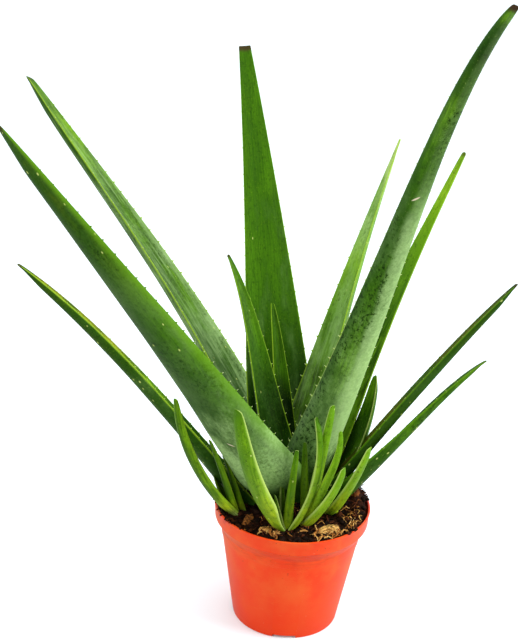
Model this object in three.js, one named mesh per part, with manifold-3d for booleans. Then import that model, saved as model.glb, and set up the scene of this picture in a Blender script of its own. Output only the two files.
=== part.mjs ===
// A potted aloe: twelve fleshy toothed leaves on a short stem, four young shoots in front and beside it,
// in potting soil with bark chips, in a round plastic nursery pot.
// Millimetres, +Z up, +Y away from the viewer. The origin is the middle of the pot's foot, on the floor.
import * as THREE from 'three';
import { mergeVertices } from 'three/addons/utils/BufferGeometryUtils.js';
import Module from 'manifold-3d';

const wasm = await Module();
wasm.setup();

// Driving dimensions
const GAP = 0.3;
const SURFACE_TOLERANCE = 0.1;

const POT_HEIGHT = 97;
const RIM_RADIUS = 60;
const RIM_BAND_HEIGHT = 11.5;
const RIM_BAND_DRAFT = 1;
const STEP_HEIGHT = 8.5;
const STEP_RADIUS = 53.8;
const LIP_HEIGHT = 1.2;
const LIP_DEPTH = 0.4;
const SEAM_DROP = 7;
const SEAM_DEPTH = 0.5;
const EDGE_EASE = 0.6;
const FOOT_RADIUS = 41;
const FOOT_HEIGHT = 2.5;
const FOOT_RING_WIDTH = 5;
const FOOT_PAD_RADIUS = 14;
const FOOT_SLOT_WIDTH = 18;
const FOOT_SLOTS = 4;
const WALL = 1.6;
const FLOOR_THICKNESS = 1.9;
const FLOOR_TOP = FOOT_HEIGHT + FLOOR_THICKNESS;
const DRAIN_HOLES = 6;
const DRAIN_RADIUS = 3.5;
const DRAIN_CIRCLE = 25;
const DRAIN_SIDES = 12;
const POT_SIDES = 40;

const SOIL_LEVEL = 94.2;
const SOIL_RINGS = 6;
const RIM_LIFT_SHARE = 0.5;
const RIM_LIFT_REACH = 0.14;
// Heaps of the soil: middle, height and the squared spread of each.
const HEAPS = [
  { x: 47, y: 19, height: 15, spread: 380 },
  { x: -6, y: 34, height: 5, spread: 900 },
];

const CROWN = { x: -3, y: 14 };
const STEM_RADIUS = 9;
const STEM_TAPER = 0.7;
const STEM_FOOT = 48;
const STEM_TOP = 98;
const STEM_SIDES = 16;

const EDGE_THICKNESS = 1.2;
const BELLY_POWER = 2.4;
const TIP_WIDTH = 1.6;
const TIP_THICKNESS = 1;
const TIP_ROUNDING = 12;
const TAIL_POWER = 0.3;
const WAIST_END = 0.35;
const THIN_SHARE = 0.15;
const SHEATH_WRAP = 60;
const SHEATH_END = 0.3;
const SHEATH_THICKNESS = 0.45;
const SHEATH_THICKENING_END = 0.12;
const ROOT_NARROWING = 0.4;
const ROOT_SEAT_HEIGHT = 84;
const ROOT_SEAT_RADIUS = 8;
const ROOT_SHORTEST = 5;
const ROOT_LONGEST = 32;

const LINE_STEPS = 60;
const BROAD_LEAF = 40;
const NARROW_LEAF = 12;
const ROW_SPACING = 24;
const FEWEST_ROWS = 4;
const MOST_ROWS = 14;
const ROW_CROWDING = 1.15;

const TOOTH_STEP = 27;
const TOOTH_START = 14;
const TOOTH_END = 0.9;
const TOOTH_HEIGHT = 2.2;
const TOOTH_SINK = 0.9;
const TOOTH_LEAN = 0.45;
const TOOTH_HALF_WIDTH = 1.7;
const TOOTH_FLATNESS = 0.36;
const TOOTH_SMALLEST = 0.45;
const FULL_TOOTH_WIDTH = 50;

// The main leaves, from the heart outwards. heading is the compass turn of the root (0 = +X, 90 = +Y)
// and sway its change by the tip; rise is the slope above level and bend its change by the tip,
// gathered there by curl; roll turns the blade about its length. out and foot place the root from
// the crown's axis and above the floor. tail keeps a share of the width up to the tip, waist narrows
// the root, and cut is where a leaf was cut off.
const LEAVES = [
  { name: 'leaf_heart', heading: 110, sway: 4, rise: 70, bend: -8, curl: 1.7, roll: 0,
    long: 142, wide: 22, thick: 6, taper: 0.72, wrap: 42, out: 3, foot: 102 },
  { name: 'leaf_inner_left', heading: 159, sway: -2, rise: 75, bend: -17, curl: 5.3, roll: -30,
    long: 191, wide: 35, thick: 9, taper: 0.96, wrap: 28, out: 4, foot: 100 },
  { name: 'leaf_back_right', heading: 62, sway: -24, rise: 69.5, bend: 0, curl: 1.2, roll: -20,
    long: 282, wide: 49, thick: 9, taper: 1, wrap: 38, out: 7, foot: 98 },
  { name: 'leaf_short_right', heading: 0, sway: 13.8, rise: 41.4, bend: 46.2, curl: 0.63, roll: 10.3,
    long: 120.7, wide: 31.7, thick: 7, taper: 0.5, wrap: 30, out: 18, foot: 89 },
  { name: 'leaf_back_tall', heading: 106, sway: 4.5, rise: 61.9, bend: -4.4, curl: 1.3, roll: -11,
    long: 415, wide: 64, thick: 12, taper: 1.06, wrap: 14, out: 10, foot: 95.4, cut: 0.86 },
  { name: 'leaf_right_upper', heading: 26.8, sway: -4.5, rise: 70, bend: -3.6, curl: 1.3, roll: 26.3,
    long: 292.6, wide: 47.8, thick: 8, taper: 1.78, wrap: 30, out: 16, foot: 91, tail: 0.14 },
  { name: 'leaf_front_right', heading: 305.6, sway: -21.2, rise: 67, bend: -31.5, curl: 5, roll: -26,
    long: 474.4, wide: 42, thick: 14, taper: 1.64, wrap: 24, out: 6, foot: 100, tail: 0.27 },
  { name: 'leaf_back_left', heading: 126.6, sway: 34, rise: 40.8, bend: 10.8, curl: 3.6, roll: 19,
    long: 397, wide: 46.7, thick: 6.5, taper: 0.31, wrap: 37, out: 11, foot: 98 },
  { name: 'leaf_right_middle', heading: 345, sway: 8, rise: 59.3, bend: -6.5, curl: 2.2, roll: -1,
    long: 243, wide: 19, thick: 7, taper: 0.41, wrap: 40, out: 20, foot: 88.5 },
  { name: 'leaf_low_left', heading: 196.5, sway: 5, rise: 52.7, bend: -11, curl: 2.6, roll: 0,
    long: 280, wide: 27, thick: 9, taper: 0.52, wrap: 45, out: 27, foot: 85 },
  { name: 'leaf_right_low', heading: 334.6, sway: 50.6, rise: 53.3, bend: -26.8, curl: 5, roll: -23.7,
    long: 182.5, wide: 23.2, thick: 8, taper: 0.65, wrap: 40, out: 25, foot: 86.5 },
  { name: 'leaf_front_left', heading: 241.6, sway: -42.3, rise: 49.7, bend: 4.2, curl: 0.3, roll: 19.6,
    long: 408.9, wide: 61.8, thick: 14, taper: 0.79, wrap: 24, out: 13, foot: 96, tail: 0.18 },
];

// The young shoots, each one piece: a short stem with its leaves. x and y place the stem.
const SHOOTS = [
  { name: 'shoot_front', x: -4, y: -34, leaves: [
    { heading: 231.5, sway: 12, rise: 48, bend: 26.5, curl: 1.1, roll: -14,
      long: 148, wide: 23.5, thick: 5, taper: 0.38, wrap: 55, out: 3, foot: 93, waist: 0.85 },
    { heading: 200, sway: 5, rise: 75, bend: 0, curl: 1.1, roll: 0,
      long: 32, wide: 8, thick: 3, taper: 0.6, wrap: 40, out: 3, foot: 93 },
    { heading: 284.5, sway: -11.5, rise: 89, bend: -24, curl: 1, roll: -4,
      long: 81.5, wide: 7, thick: 4, taper: 0.7, wrap: 40, out: 1, foot: 91 },
    { heading: 330.5, sway: -17.5, rise: 66, bend: 47.5, curl: 1.9, roll: 12,
      long: 102.5, wide: 7, thick: 4, taper: 0.25, wrap: 35, out: 3, foot: 93 },
    { heading: 150, sway: 0, rise: 87, bend: -4, curl: 1.7, roll: 0,
      long: 40, wide: 10, thick: 4, taper: 0.68, wrap: 40, out: 4, foot: 92 },
  ] },
  { name: 'shoot_middle', x: 9.5, y: -26, leaves: [
    { heading: 310, sway: -13.5, rise: 79.5, bend: -0.7, curl: 1, roll: 0,
      long: 112, wide: 9, thick: 4, taper: 0.32, wrap: 35, out: 1, foot: 93 },
    { heading: 295.5, sway: 39.5, rise: 66, bend: 33.5, curl: 4, roll: -40,
      long: 97.5, wide: 7, thick: 4, taper: 0.42, wrap: 35, out: 1, foot: 93 },
    { heading: 305, sway: 6.5, rise: 53.5, bend: 26, curl: 2.4, roll: 12,
      long: 77, wide: 12, thick: 4, taper: 0.3, wrap: 40, out: 1, foot: 93 },
    { heading: 243, sway: 9, rise: 77.5, bend: 3, curl: 1.7, roll: -2,
      long: 77.5, wide: 7.5, thick: 4, taper: 0.64, wrap: 40, out: -2, foot: 93 },
  ] },
  { name: 'shoot_right', x: 30, y: -8, leaves: [
    { heading: 292.5, sway: 9.5, rise: 53.5, bend: 18, curl: 1.7, roll: 22,
      long: 90, wide: 13.5, thick: 4, taper: 0.34, wrap: 40, out: 1, foot: 96 },
    { heading: 272, sway: 0, rise: 52, bend: -10, curl: 1.9, roll: 0,
      long: 14, wide: 10, thick: 4, taper: 0.7, wrap: 40, out: 2, foot: 96 },
  ] },
  { name: 'shoot_left', x: -41, y: -15, leaves: [
    { heading: 211, sway: 24, rise: 50.5, bend: 28.5, curl: 1.4, roll: 0,
      long: 128, wide: 17, thick: 4, taper: 0.51, wrap: 40, out: 5, foot: 94 },
    { heading: 232, sway: 0, rise: 73, bend: -12, curl: 0.6, roll: -11,
      long: 84, wide: 7.5, thick: 4, taper: 0.5, wrap: 40, out: 3, foot: 93 },
    { heading: 230, sway: -3, rise: 72, bend: -10.5, curl: 1.1, roll: -5.5,
      long: 61, wide: 8, thick: 4, taper: 0.8, wrap: 40, out: -4, foot: 93 },
    { heading: 170, sway: 0, rise: 64.5, bend: -2, curl: 1.6, roll: 0,
      long: 34, wide: 12, thick: 4, taper: 0.66, wrap: 40, out: 5, foot: 91 },
  ] },
];
const SHOOT_STEM = { foot: 68, top: 93, footRadius: 3, topRadius: 5, sides: 8 };

// Bark chips that lie in the soil's surface: middle, half sizes, turn in plan and slope.
const CHIPS = [
  { name: 'bark_chip_front', x: -16, y: -41, half: [9, 4, 1.6], turn: 10, tip: 8 },
  { name: 'bark_chip_left', x: -33, y: -27, half: [3.5, 9, 1.8], turn: -15, tip: 12 },
  { name: 'bark_chip_right', x: 27, y: -36, half: [10, 5, 2], turn: 28, tip: -6 },
  { name: 'bark_chip_back', x: 14, y: 46, half: [8, 4.5, 1.8], turn: -30, tip: 5 },
  { name: 'bark_chip_side', x: 46, y: 8, half: [5, 7.5, 1.8], turn: 20, tip: -8 },
];
const CHIP_SIDES = 7;
const CHIP_BEVEL = 0.86;
const CHIP_PROUD = 0.35;

// Finish of each kind of piece
const LEAF_FINISH = { color: 0x4a7a34, roughness: 0.5, metalness: 0 };
const SHOOT_FINISH = { color: 0x86b53a, roughness: 0.45, metalness: 0 };
const POT_FINISH = { color: 0xe8502a, roughness: 0.4, metalness: 0 };
const SOIL_FINISH = { color: 0x33231a, roughness: 0.95, metalness: 0 };
const BARK_FINISH = { color: 0xa9793f, roughness: 0.85, metalness: 0 };

const radians = THREE.MathUtils.degToRad;
const blendOver = (value, end) => THREE.MathUtils.smoothstep(value, 0, end);

// A closed geometry as a solid that can be cut and joined.
function solidOf(geometry) {
  const bare = geometry.clone();
  bare.deleteAttribute('normal');
  bare.deleteAttribute('uv');
  const merged = mergeVertices(bare, 1e-4);
  return new wasm.Manifold(new wasm.Mesh({
    numProp: 3,
    vertProperties: new Float32Array(merged.attributes.position.array),
    triVerts: new Uint32Array(merged.index.array),
  }));
}

// A solid as one named mesh, with loose scraps dropped and tiny edges closed up.
function meshOf(name, solid, finish) {
  const bodies = solid.simplify(SURFACE_TOLERANCE).decompose();
  bodies.sort((a, b) => b.volume() - a.volume());
  const { vertProperties, triVerts } = bodies[0].getMesh();
  const geometry = new THREE.BufferGeometry();
  geometry.setAttribute('position', new THREE.BufferAttribute(vertProperties, 3));
  geometry.setIndex(new THREE.BufferAttribute(triVerts, 1));
  geometry.computeVertexNormals();
  const mesh = new THREE.Mesh(geometry, new THREE.MeshStandardMaterial(finish));
  mesh.name = name;
  return mesh;
}

const joined = (solids) => wasm.Manifold.union(solids);

// The middle line of a leaf as a function of t, 0 at the root and 1 at the full tip, below 0 in the crown.
function midline(leaf, crown) {
  const steps = LINE_STEPS;
  const heading = (t) => radians(leaf.heading + leaf.sway * Math.max(t, 0));
  const slope = (t) => radians(leaf.rise + leaf.bend * Math.max(t, 0) ** leaf.curl);
  const along = (t) => new THREE.Vector3(
    Math.cos(slope(t)) * Math.cos(heading(t)),
    Math.cos(slope(t)) * Math.sin(heading(t)),
    Math.sin(slope(t)),
  );
  const root = new THREE.Vector3(
    crown.x + leaf.out * Math.cos(radians(leaf.heading)),
    crown.y + leaf.out * Math.sin(radians(leaf.heading)),
    leaf.foot,
  );
  const points = [root];
  for (let i = 1; i <= steps; i += 1) {
    points.push(points[i - 1].clone().addScaledVector(along((i - 0.5) / steps), leaf.long / steps));
  }
  return (t) => {
    const place = Math.min(Math.max(t, 0) * steps, steps - 1e-6);
    const i = Math.floor(place);
    const point = points[i].clone().lerp(points[i + 1], place - i);
    point.addScaledVector(along(0), Math.min(t, 0) * leaf.long);
    const direction = along(t);
    const level = new THREE.Vector3(Math.sin(heading(t)), -Math.cos(heading(t)), 0);
    const roll = radians(leaf.roll);
    const face = level.clone().cross(direction).multiplyScalar(Math.cos(roll));
    face.addScaledVector(level, Math.sin(roll));
    const across = direction.clone().cross(face);
    return { point, direction, across, face };
  };
}

// Width, thickness and half the angle that the blade wraps round, at t.
function section(leaf, t) {
  const left = Math.max(1 - Math.max(t, 0), 0);
  const tail = leaf.tail ?? 0;
  const full = (1 - tail) * left ** leaf.taper + tail * left ** TAIL_POWER;
  const waist = 1 - (leaf.waist ?? 0) * (1 - blendOver(t, WAIST_END));
  const crownShare = 1 + ROOT_NARROWING * Math.min(t, 0) * leaf.long / rootLength(leaf);
  const width = (TIP_WIDTH + (leaf.wide - TIP_WIDTH) * full) * crownShare * waist;
  const sheath = SHEATH_THICKNESS + (1 - SHEATH_THICKNESS) * blendOver(t, SHEATH_THICKENING_END);
  const tipShare = Math.sqrt(Math.min(1, left * TIP_ROUNDING));
  const fullness = THIN_SHARE + (1 - THIN_SHARE) * full;
  const thickness = Math.max(leaf.thick * fullness * sheath * tipShare, TIP_THICKNESS);
  const wrap = radians(SHEATH_WRAP + (leaf.wrap - SHEATH_WRAP) * blendOver(t, SHEATH_END));
  return { width, thickness, wrap };
}

// How far a leaf's root runs on into the crown, to its seat on the stem.
function rootLength(leaf) {
  const slope = radians(leaf.rise);
  const down = (leaf.foot - ROOT_SEAT_HEIGHT) / Math.sin(slope);
  const inward = (leaf.out - ROOT_SEAT_RADIUS) / Math.cos(slope);
  return Math.min(Math.max(down, inward, ROOT_SHORTEST), ROOT_LONGEST);
}

// A point of the blade: u runs from edge to edge, depth is 0 on the inner face and 1 on the outer one.
function bladePoint(leaf, frame, t, u, depth, margin) {
  const { width, thickness, wrap } = section(leaf, t);
  const radius = width / (2 * wrap);
  const angle = u * wrap;
  const edge = Math.min(EDGE_THICKNESS, thickness);
  const local = edge + (thickness - edge) * (1 - Math.abs(u) ** BELLY_POWER);
  const sink = depth * (local + 2 * margin) - margin;
  const spare = Math.abs(u) > 0.99 ? Math.sign(u) * margin : 0;
  const side = (radius + sink) * Math.sin(angle) + spare;
  const lift = radius - (radius + sink) * Math.cos(angle);
  return frame.point.clone().addScaledVector(frame.across, side).addScaledVector(frame.face, lift);
}

// A leaf blade: a box blank with its grid of points carried onto the leaf's two faces and its edges.
function blade(leaf, crown, margin) {
  const line = midline(leaf, crown);
  const narrow = leaf.wide > NARROW_LEAF ? 4 : 2;
  const across = leaf.wide > BROAD_LEAF ? 6 : narrow;
  const rows = THREE.MathUtils.clamp(leaf.long / ROW_SPACING, FEWEST_ROWS, MOST_ROWS);
  const start = -(rootLength(leaf) + margin) / leaf.long;
  const end = (leaf.cut ?? 1) + margin / leaf.long;
  const blank = new THREE.BoxGeometry(2, 1, 1, across, Math.round(rows), 1);
  const places = blank.attributes.position;
  for (let i = 0; i < places.count; i += 1) {
    const share = 1 - Math.max(0.5 - places.getY(i), 0) ** ROW_CROWDING;
    const t = start + (end - start) * share;
    const frame = line(t);
    frame.point.addScaledVector(frame.direction, Math.max(t - 1, 0) * leaf.long);
    const spot = bladePoint(leaf, frame, t, places.getX(i), 0.5 - places.getZ(i), margin);
    places.setXYZ(i, spot.x, spot.y, spot.z);
  }
  return solidOf(blank);
}

// The teeth of a leaf: small three-sided spines on both edges, leaning to the tip, smaller along the way.
function teeth(leaf, crown) {
  const line = midline(leaf, crown);
  const found = [];
  for (const side of [-1, 1]) {
    const first = TOOTH_START + (side > 0 ? TOOTH_STEP / 2 : 0);
    const last = leaf.long * TOOTH_END * (leaf.cut ?? 1);
    for (let distance = first; distance < last; distance += TOOTH_STEP) {
      const t = distance / leaf.long;
      const { width, wrap } = section(leaf, t);
      const size = Math.min(1, TOOTH_SMALLEST + width / FULL_TOOTH_WIDTH);
      const frame = line(t);
      const root = bladePoint(leaf, frame, t, side, 0.5, 0);
      const outward = frame.across.clone().multiplyScalar(side * Math.cos(wrap));
      outward.addScaledVector(frame.face, Math.sin(wrap));
      const lean = outward.clone().addScaledVector(frame.direction, TOOTH_LEAN).normalize();
      const height = TOOTH_HEIGHT * size + TOOTH_SINK;
      const spine = new THREE.ConeGeometry(TOOTH_HALF_WIDTH * size, height, 3);
      spine.translate(0, height / 2 - TOOTH_SINK, 0).scale(1, 1, TOOTH_FLATNESS);
      const flat = lean.clone().cross(frame.direction).normalize();
      const wayAlong = lean.clone().cross(flat);
      spine.applyMatrix4(new THREE.Matrix4().makeBasis(wayAlong, lean, flat).setPosition(root));
      found.push(solidOf(spine));
    }
  }
  return found;
}

// An upright round solid from a profile of [radius, height] pairs that starts and ends on the axis.
function turned(profile, sides) {
  const outline = profile.map(([radius, height]) => new THREE.Vector2(radius, height));
  return new THREE.LatheGeometry(outline, sides).rotateX(Math.PI / 2);
}

function upright(radius, low, high, sides, x, y, topRadius = radius) {
  const column = new THREE.CylinderGeometry(topRadius, radius, high - low, sides).rotateX(Math.PI / 2);
  return column.translate(x, y, (low + high) / 2);
}

// Pot: tapered wall, conical step, rim band with a thin lip, foot ring with slots, drain holes in the floor
const stepFoot = POT_HEIGHT - RIM_BAND_HEIGHT - STEP_HEIGHT;
const bandFoot = POT_HEIGHT - RIM_BAND_HEIGHT;
const seamHeight = stepFoot - SEAM_DROP;
const wallRadius = (z) => FOOT_RADIUS + (STEP_RADIUS - FOOT_RADIUS) * (z / stepFoot);

function pot() {
  const ringInner = FOOT_RADIUS - FOOT_RING_WIDTH;
  const body = solidOf(turned([
    [0, 0],
    [FOOT_PAD_RADIUS, 0],
    [FOOT_PAD_RADIUS + EDGE_EASE, FOOT_HEIGHT],
    [ringInner - EDGE_EASE, FOOT_HEIGHT],
    [ringInner, 0],
    [FOOT_RADIUS - EDGE_EASE, 0],
    [FOOT_RADIUS, EDGE_EASE],
    [wallRadius(seamHeight), seamHeight],
    [wallRadius(seamHeight) + SEAM_DEPTH, seamHeight + EDGE_EASE],
    [STEP_RADIUS, stepFoot],
    [RIM_RADIUS - RIM_BAND_DRAFT - EDGE_EASE, bandFoot - EDGE_EASE],
    [RIM_RADIUS - RIM_BAND_DRAFT, bandFoot],
    [RIM_RADIUS - LIP_DEPTH, POT_HEIGHT - LIP_HEIGHT - LIP_DEPTH],
    [RIM_RADIUS, POT_HEIGHT - LIP_HEIGHT],
    [RIM_RADIUS, POT_HEIGHT],
    [RIM_RADIUS - WALL, POT_HEIGHT],
    [RIM_RADIUS - RIM_BAND_DRAFT - WALL, bandFoot + EDGE_EASE],
    [STEP_RADIUS - WALL, stepFoot + EDGE_EASE],
    [FOOT_RADIUS - WALL, FLOOR_TOP],
    [0, FLOOR_TOP],
  ], POT_SIDES));
  const cuts = [];
  for (let i = 0; i < DRAIN_HOLES; i += 1) {
    const turn = (i / DRAIN_HOLES) * 2 * Math.PI;
    const x = DRAIN_CIRCLE * Math.cos(turn);
    const y = DRAIN_CIRCLE * Math.sin(turn);
    cuts.push(solidOf(upright(DRAIN_RADIUS, -1, FLOOR_TOP + 1, DRAIN_SIDES, x, y)));
  }
  for (let i = 0; i < FOOT_SLOTS; i += 1) {
    const slot = new THREE.BoxGeometry(FOOT_SLOT_WIDTH, FOOT_RING_WIDTH * 3, FOOT_HEIGHT * 2);
    slot.translate(0, -FOOT_RADIUS, 0).rotateZ((i / FOOT_SLOTS) * 2 * Math.PI);
    cuts.push(solidOf(slot));
  }
  return body.subtract(joined(cuts));
}

// Soil: fills the pot to just below the rim and is heaped towards the back and the right.
function soilLift(x, y) {
  const crumbs = 0.7 * Math.sin(x * 0.31 + 1) * Math.cos(y * 0.27) + 0.5 * Math.sin(x * 0.17 - y * 0.41);
  return HEAPS.reduce((sum, heap) => (
    sum + heap.height * Math.exp(-((x - heap.x) ** 2 + (y - heap.y) ** 2) / heap.spread)
  ), crumbs);
}

function soil() {
  const inset = WALL + 2 * GAP;
  const rim = RIM_RADIUS - RIM_BAND_DRAFT - inset;
  const profile = [
    [0, FLOOR_TOP + GAP],
    [FOOT_RADIUS - inset, FLOOR_TOP + GAP],
    [STEP_RADIUS - inset, stepFoot],
    [rim, bandFoot + EDGE_EASE + GAP],
  ];
  for (let i = SOIL_RINGS; i >= 0; i -= 1) {
    profile.push([rim * (i / SOIL_RINGS), SOIL_LEVEL]);
  }
  const mound = turned(profile, POT_SIDES);
  const places = mound.attributes.position;
  for (let i = 0; i < places.count; i += 1) {
    if (places.getZ(i) > SOIL_LEVEL - 0.5) {
      const x = places.getX(i);
      const y = places.getY(i);
      const inward = blendOver(1 - Math.hypot(x, y) / rim, RIM_LIFT_REACH);
      const share = RIM_LIFT_SHARE + (1 - RIM_LIFT_SHARE) * inward;
      places.setZ(i, SOIL_LEVEL + soilLift(x, y) * share);
    }
  }
  return solidOf(mound);
}

function chip(spec, margin) {
  const slab = new THREE.CylinderGeometry(CHIP_BEVEL, 1, 2, CHIP_SIDES).rotateX(Math.PI / 2);
  slab.scale(spec.half[0] + margin, spec.half[1] + margin, spec.half[2] + margin);
  slab.rotateY(radians(spec.tip)).rotateZ(radians(spec.turn));
  const height = SOIL_LEVEL + soilLift(spec.x, spec.y) + spec.half[2] * CHIP_PROUD;
  slab.translate(spec.x, spec.y, height);
  return solidOf(slab);
}

// Assembly: each piece is cut clear of those nearer the heart, and the soil of all that stands in it
const plant = new THREE.Group();
plant.name = 'potted_aloe';

const stem = (margin) => solidOf(upright(
  STEM_RADIUS * STEM_TAPER + margin,
  STEM_FOOT - margin,
  STEM_TOP + margin,
  STEM_SIDES,
  CROWN.x,
  CROWN.y,
  STEM_RADIUS + margin,
));
plant.add(meshOf('stem', stem(0), LEAF_FINISH));

const blades = new Map();
const rooms = new Map();
let taken = stem(GAP);
for (const leaf of LEAVES) {
  blades.set(leaf.name, blade(leaf, CROWN, 0).subtract(taken));
  rooms.set(leaf.name, blade(leaf, CROWN, GAP));
  taken = taken.add(rooms.get(leaf.name));
}
for (const leaf of LEAVES) {
  const others = [...rooms].filter(([name]) => name !== leaf.name).map(([, room]) => room);
  const crowd = joined([stem(GAP), ...others]);
  const clear = teeth(leaf, CROWN).filter((tooth) => tooth.intersect(crowd).isEmpty());
  plant.add(meshOf(leaf.name, joined([blades.get(leaf.name), ...clear]), LEAF_FINISH));
}

for (const shoot of SHOOTS) {
  const column = (margin) => solidOf(upright(
    SHOOT_STEM.footRadius + margin,
    SHOOT_STEM.foot - margin,
    SHOOT_STEM.top + margin,
    SHOOT_STEM.sides,
    shoot.x,
    shoot.y,
    SHOOT_STEM.topRadius + margin,
  ));
  const parts = (margin) => joined([
    column(margin),
    ...shoot.leaves.map((leaf) => blade(leaf, shoot, margin)),
  ]);
  plant.add(meshOf(shoot.name, parts(0).subtract(taken), SHOOT_FINISH));
  taken = taken.add(parts(GAP));
}

for (const spec of CHIPS) {
  plant.add(meshOf(spec.name, chip(spec, 0).subtract(taken), BARK_FINISH));
  taken = taken.add(chip(spec, GAP));
}

plant.add(meshOf('soil', soil().subtract(taken), SOIL_FINISH));
plant.add(meshOf('pot', pot(), POT_FINISH));

export default plant;
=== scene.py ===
"""A potted aloe: fleshy toothed leaves and young shoots in dark bark soil, in a round plastic nursery pot.

Metres, +Z up, +Y away from the viewer. The origin is the middle of the pot's foot, on the floor.
Sizes in the tables are in millimetres, as on the maker's drawing, and become metres when a mesh is made.
"""

import math
import random
from contextlib import contextmanager

import bpy
import numpy as np
from mathutils import Matrix, Vector, noise


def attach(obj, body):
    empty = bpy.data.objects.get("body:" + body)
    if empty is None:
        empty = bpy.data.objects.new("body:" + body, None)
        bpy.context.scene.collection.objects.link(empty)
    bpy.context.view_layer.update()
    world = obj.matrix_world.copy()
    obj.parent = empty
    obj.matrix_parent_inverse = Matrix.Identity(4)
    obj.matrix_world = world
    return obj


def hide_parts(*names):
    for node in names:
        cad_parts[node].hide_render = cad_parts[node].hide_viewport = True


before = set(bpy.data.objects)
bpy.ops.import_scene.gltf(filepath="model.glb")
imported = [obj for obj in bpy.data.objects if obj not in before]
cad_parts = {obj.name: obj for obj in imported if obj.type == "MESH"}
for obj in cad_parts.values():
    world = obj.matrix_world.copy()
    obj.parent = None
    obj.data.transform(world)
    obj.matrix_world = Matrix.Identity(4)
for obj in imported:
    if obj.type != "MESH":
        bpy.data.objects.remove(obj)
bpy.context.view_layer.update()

MM = 0.001
FULL_TURN = 2 * math.pi
SKIN_MERGE = 2e-5

# Sizes of the pot
POT_HEIGHT = 97
RIM_RADIUS = 60
STEP_FOOT = 77
STEP_RADIUS = 53.8
SEAM_DROP = 7
FOOT_RADIUS = 41
WALL = 1.6
FLOOR_TOP = 4.4
FOOT_SLOTS = 4
FOOT_SLOT_SIZE = (18, 15, 5)
DRAIN_HOLES = 6
DRAIN_RADIUS = 3.5
DRAIN_CIRCLE = 25
DRAIN_CUT = 12
DRAIN_CUT_MIDDLE = 3
POT_STEPS = 160
POT_CREASE = 32
POT_MERGE = 1e-5

# Sizes of the soil. Each heap has its middle, height and squared spread.
SOIL_LEVEL = 94.2
SOIL_RADIUS = 56.8
SOIL_OUTLINE = [(0, 4.7), (20, 4.7), (38.8, 4.7), (45.2, 40), (51.6, 77), (56.6, 86.4), (SOIL_RADIUS, 91)]
SOIL_COLUMNS = 220
SOIL_RINGS = 70
HEAPS = [(47, 19, 15, 380), (-6, 34, 5, 900)]
RIM_LIFT_SHARE = 0.5
RIM_LIFT_REACH = 0.14
SOIL_ROUGHNESS = 0.9
ROUGHNESS_TURNS = 0.16

# Sizes of the leaves
CROWN = (-3, 14)
EDGE_THICKNESS = 1.2
BELLY_POWER = 2.4
EDGE_POWER = 14
TIP_WIDTH = 1.6
TIP_THICKNESS = 1
TIP_ROUNDING = 12
TAIL_POWER = 0.3
WAIST_END = 0.35
THIN_SHARE = 0.15
SHEATH_WRAP = 60
SHEATH_END = 0.3
SHEATH_THICKNESS = 0.45
SHEATH_THICKENING_END = 0.12
ROOT_NARROWING = 0.4
ROOT_SEAT_HEIGHT = 84
ROOT_SEAT_RADIUS = 8
ROOT_SHORTEST = 5
ROOT_LONGEST = 32
LINE_STEPS = 60

# Points of a blade: columns round it, its rows' length, how its tip or cut end closes, and its uneven face.
# Marks on the outer face are told from the inner one's by their place, which lies OUTER_FACE away.
BROAD_LEAF = 20
BROAD_COLUMNS = 40
NARROW_COLUMNS = 28
ROW_LENGTH = 3.6
FEWEST_ROWS = 24
TIP_ROWS = 8
TIP_CLOSING = (1.2, 7)
CUT_CLOSING = 0.8
CUT_ROUNDING = 0.06
BLADE_WAVE = 0.045
WAVE_TURNS = (0.06, 0.022, 3)
TIP_MEASURE = 3
OUTER_FACE = 40

# Teeth of the leaves' edges. The spread is along the edge, through it and out of it.
TOOTH_START = 5.0
TOOTH_STEP = 10.5
TOOTH_END = 0.93
TOOTH_SINK = 0.5
TOOTH_SPREAD = (1.4, 0.6, 2.5)
TOOTH_SIDES = 7
TOOTH_RINGS = (0.3, 0.6, 0.82)
TOOTH_LEAST = 0.25
WIDTH_PER_TOOTH = 45
TOOTH_UNEVENNESS = (0.75, 1.12)
STEP_UNEVENNESS = (0.82, 1.2)
TOOTH_LEAN = 0.55
TOOTH_WAIST = 0.28
CUT_LEAF_TEETH = 0.6

# heading and sway, rise, bend and curl, and roll turn the blade; long, wide, thick, taper and wrap shape it;
# out and foot place its root from the crown's middle and above the floor.
LEAF_WORDS = "heading sway rise bend curl roll long wide thick taper wrap out foot".split()
LEAVES = {
    "leaf_heart": (110, 4, 70, -8, 1.7, 0, 142, 22, 6, 0.72, 42, 3, 102),
    "leaf_inner_left": (159, -2, 75, -17, 5.3, -30, 191, 35, 9, 0.96, 28, 4, 100),
    "leaf_back_right": (62, -24, 69.5, 0, 1.2, -20, 282, 49, 9, 1, 38, 7, 98),
    "leaf_short_right": (0, 13.8, 41.4, 46.2, 0.63, 10.3, 120.7, 31.7, 7, 0.5, 30, 18, 89),
    "leaf_back_tall": (106, 4.5, 61.9, -4.4, 1.3, -11, 415, 64, 12, 1.06, 14, 10, 95.4),
    "leaf_right_upper": (26.8, -4.5, 70, -3.6, 1.3, 26.3, 292.6, 47.8, 8, 1.78, 30, 16, 91),
    "leaf_front_right": (305.6, -21.2, 67, -31.5, 5, -26, 474.4, 42, 14, 1.64, 24, 6, 100),
    "leaf_back_left": (126.6, 34, 40.8, 10.8, 3.6, 19, 397, 46.7, 6.5, 0.31, 37, 11, 98),
    "leaf_right_middle": (345, 8, 59.3, -6.5, 2.2, -1, 243, 19, 7, 0.41, 40, 20, 88.5),
    "leaf_low_left": (196.5, 5, 52.7, -11, 2.6, 0, 280, 27, 9, 0.52, 45, 27, 85),
    "leaf_right_low": (334.6, 50.6, 53.3, -26.8, 5, -23.7, 182.5, 23.2, 8, 0.65, 40, 25, 86.5),
    "leaf_front_left": (241.6, -42.3, 49.7, 4.2, 0.3, 19.6, 408.9, 61.8, 14, 0.79, 24, 13, 96),
}
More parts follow.
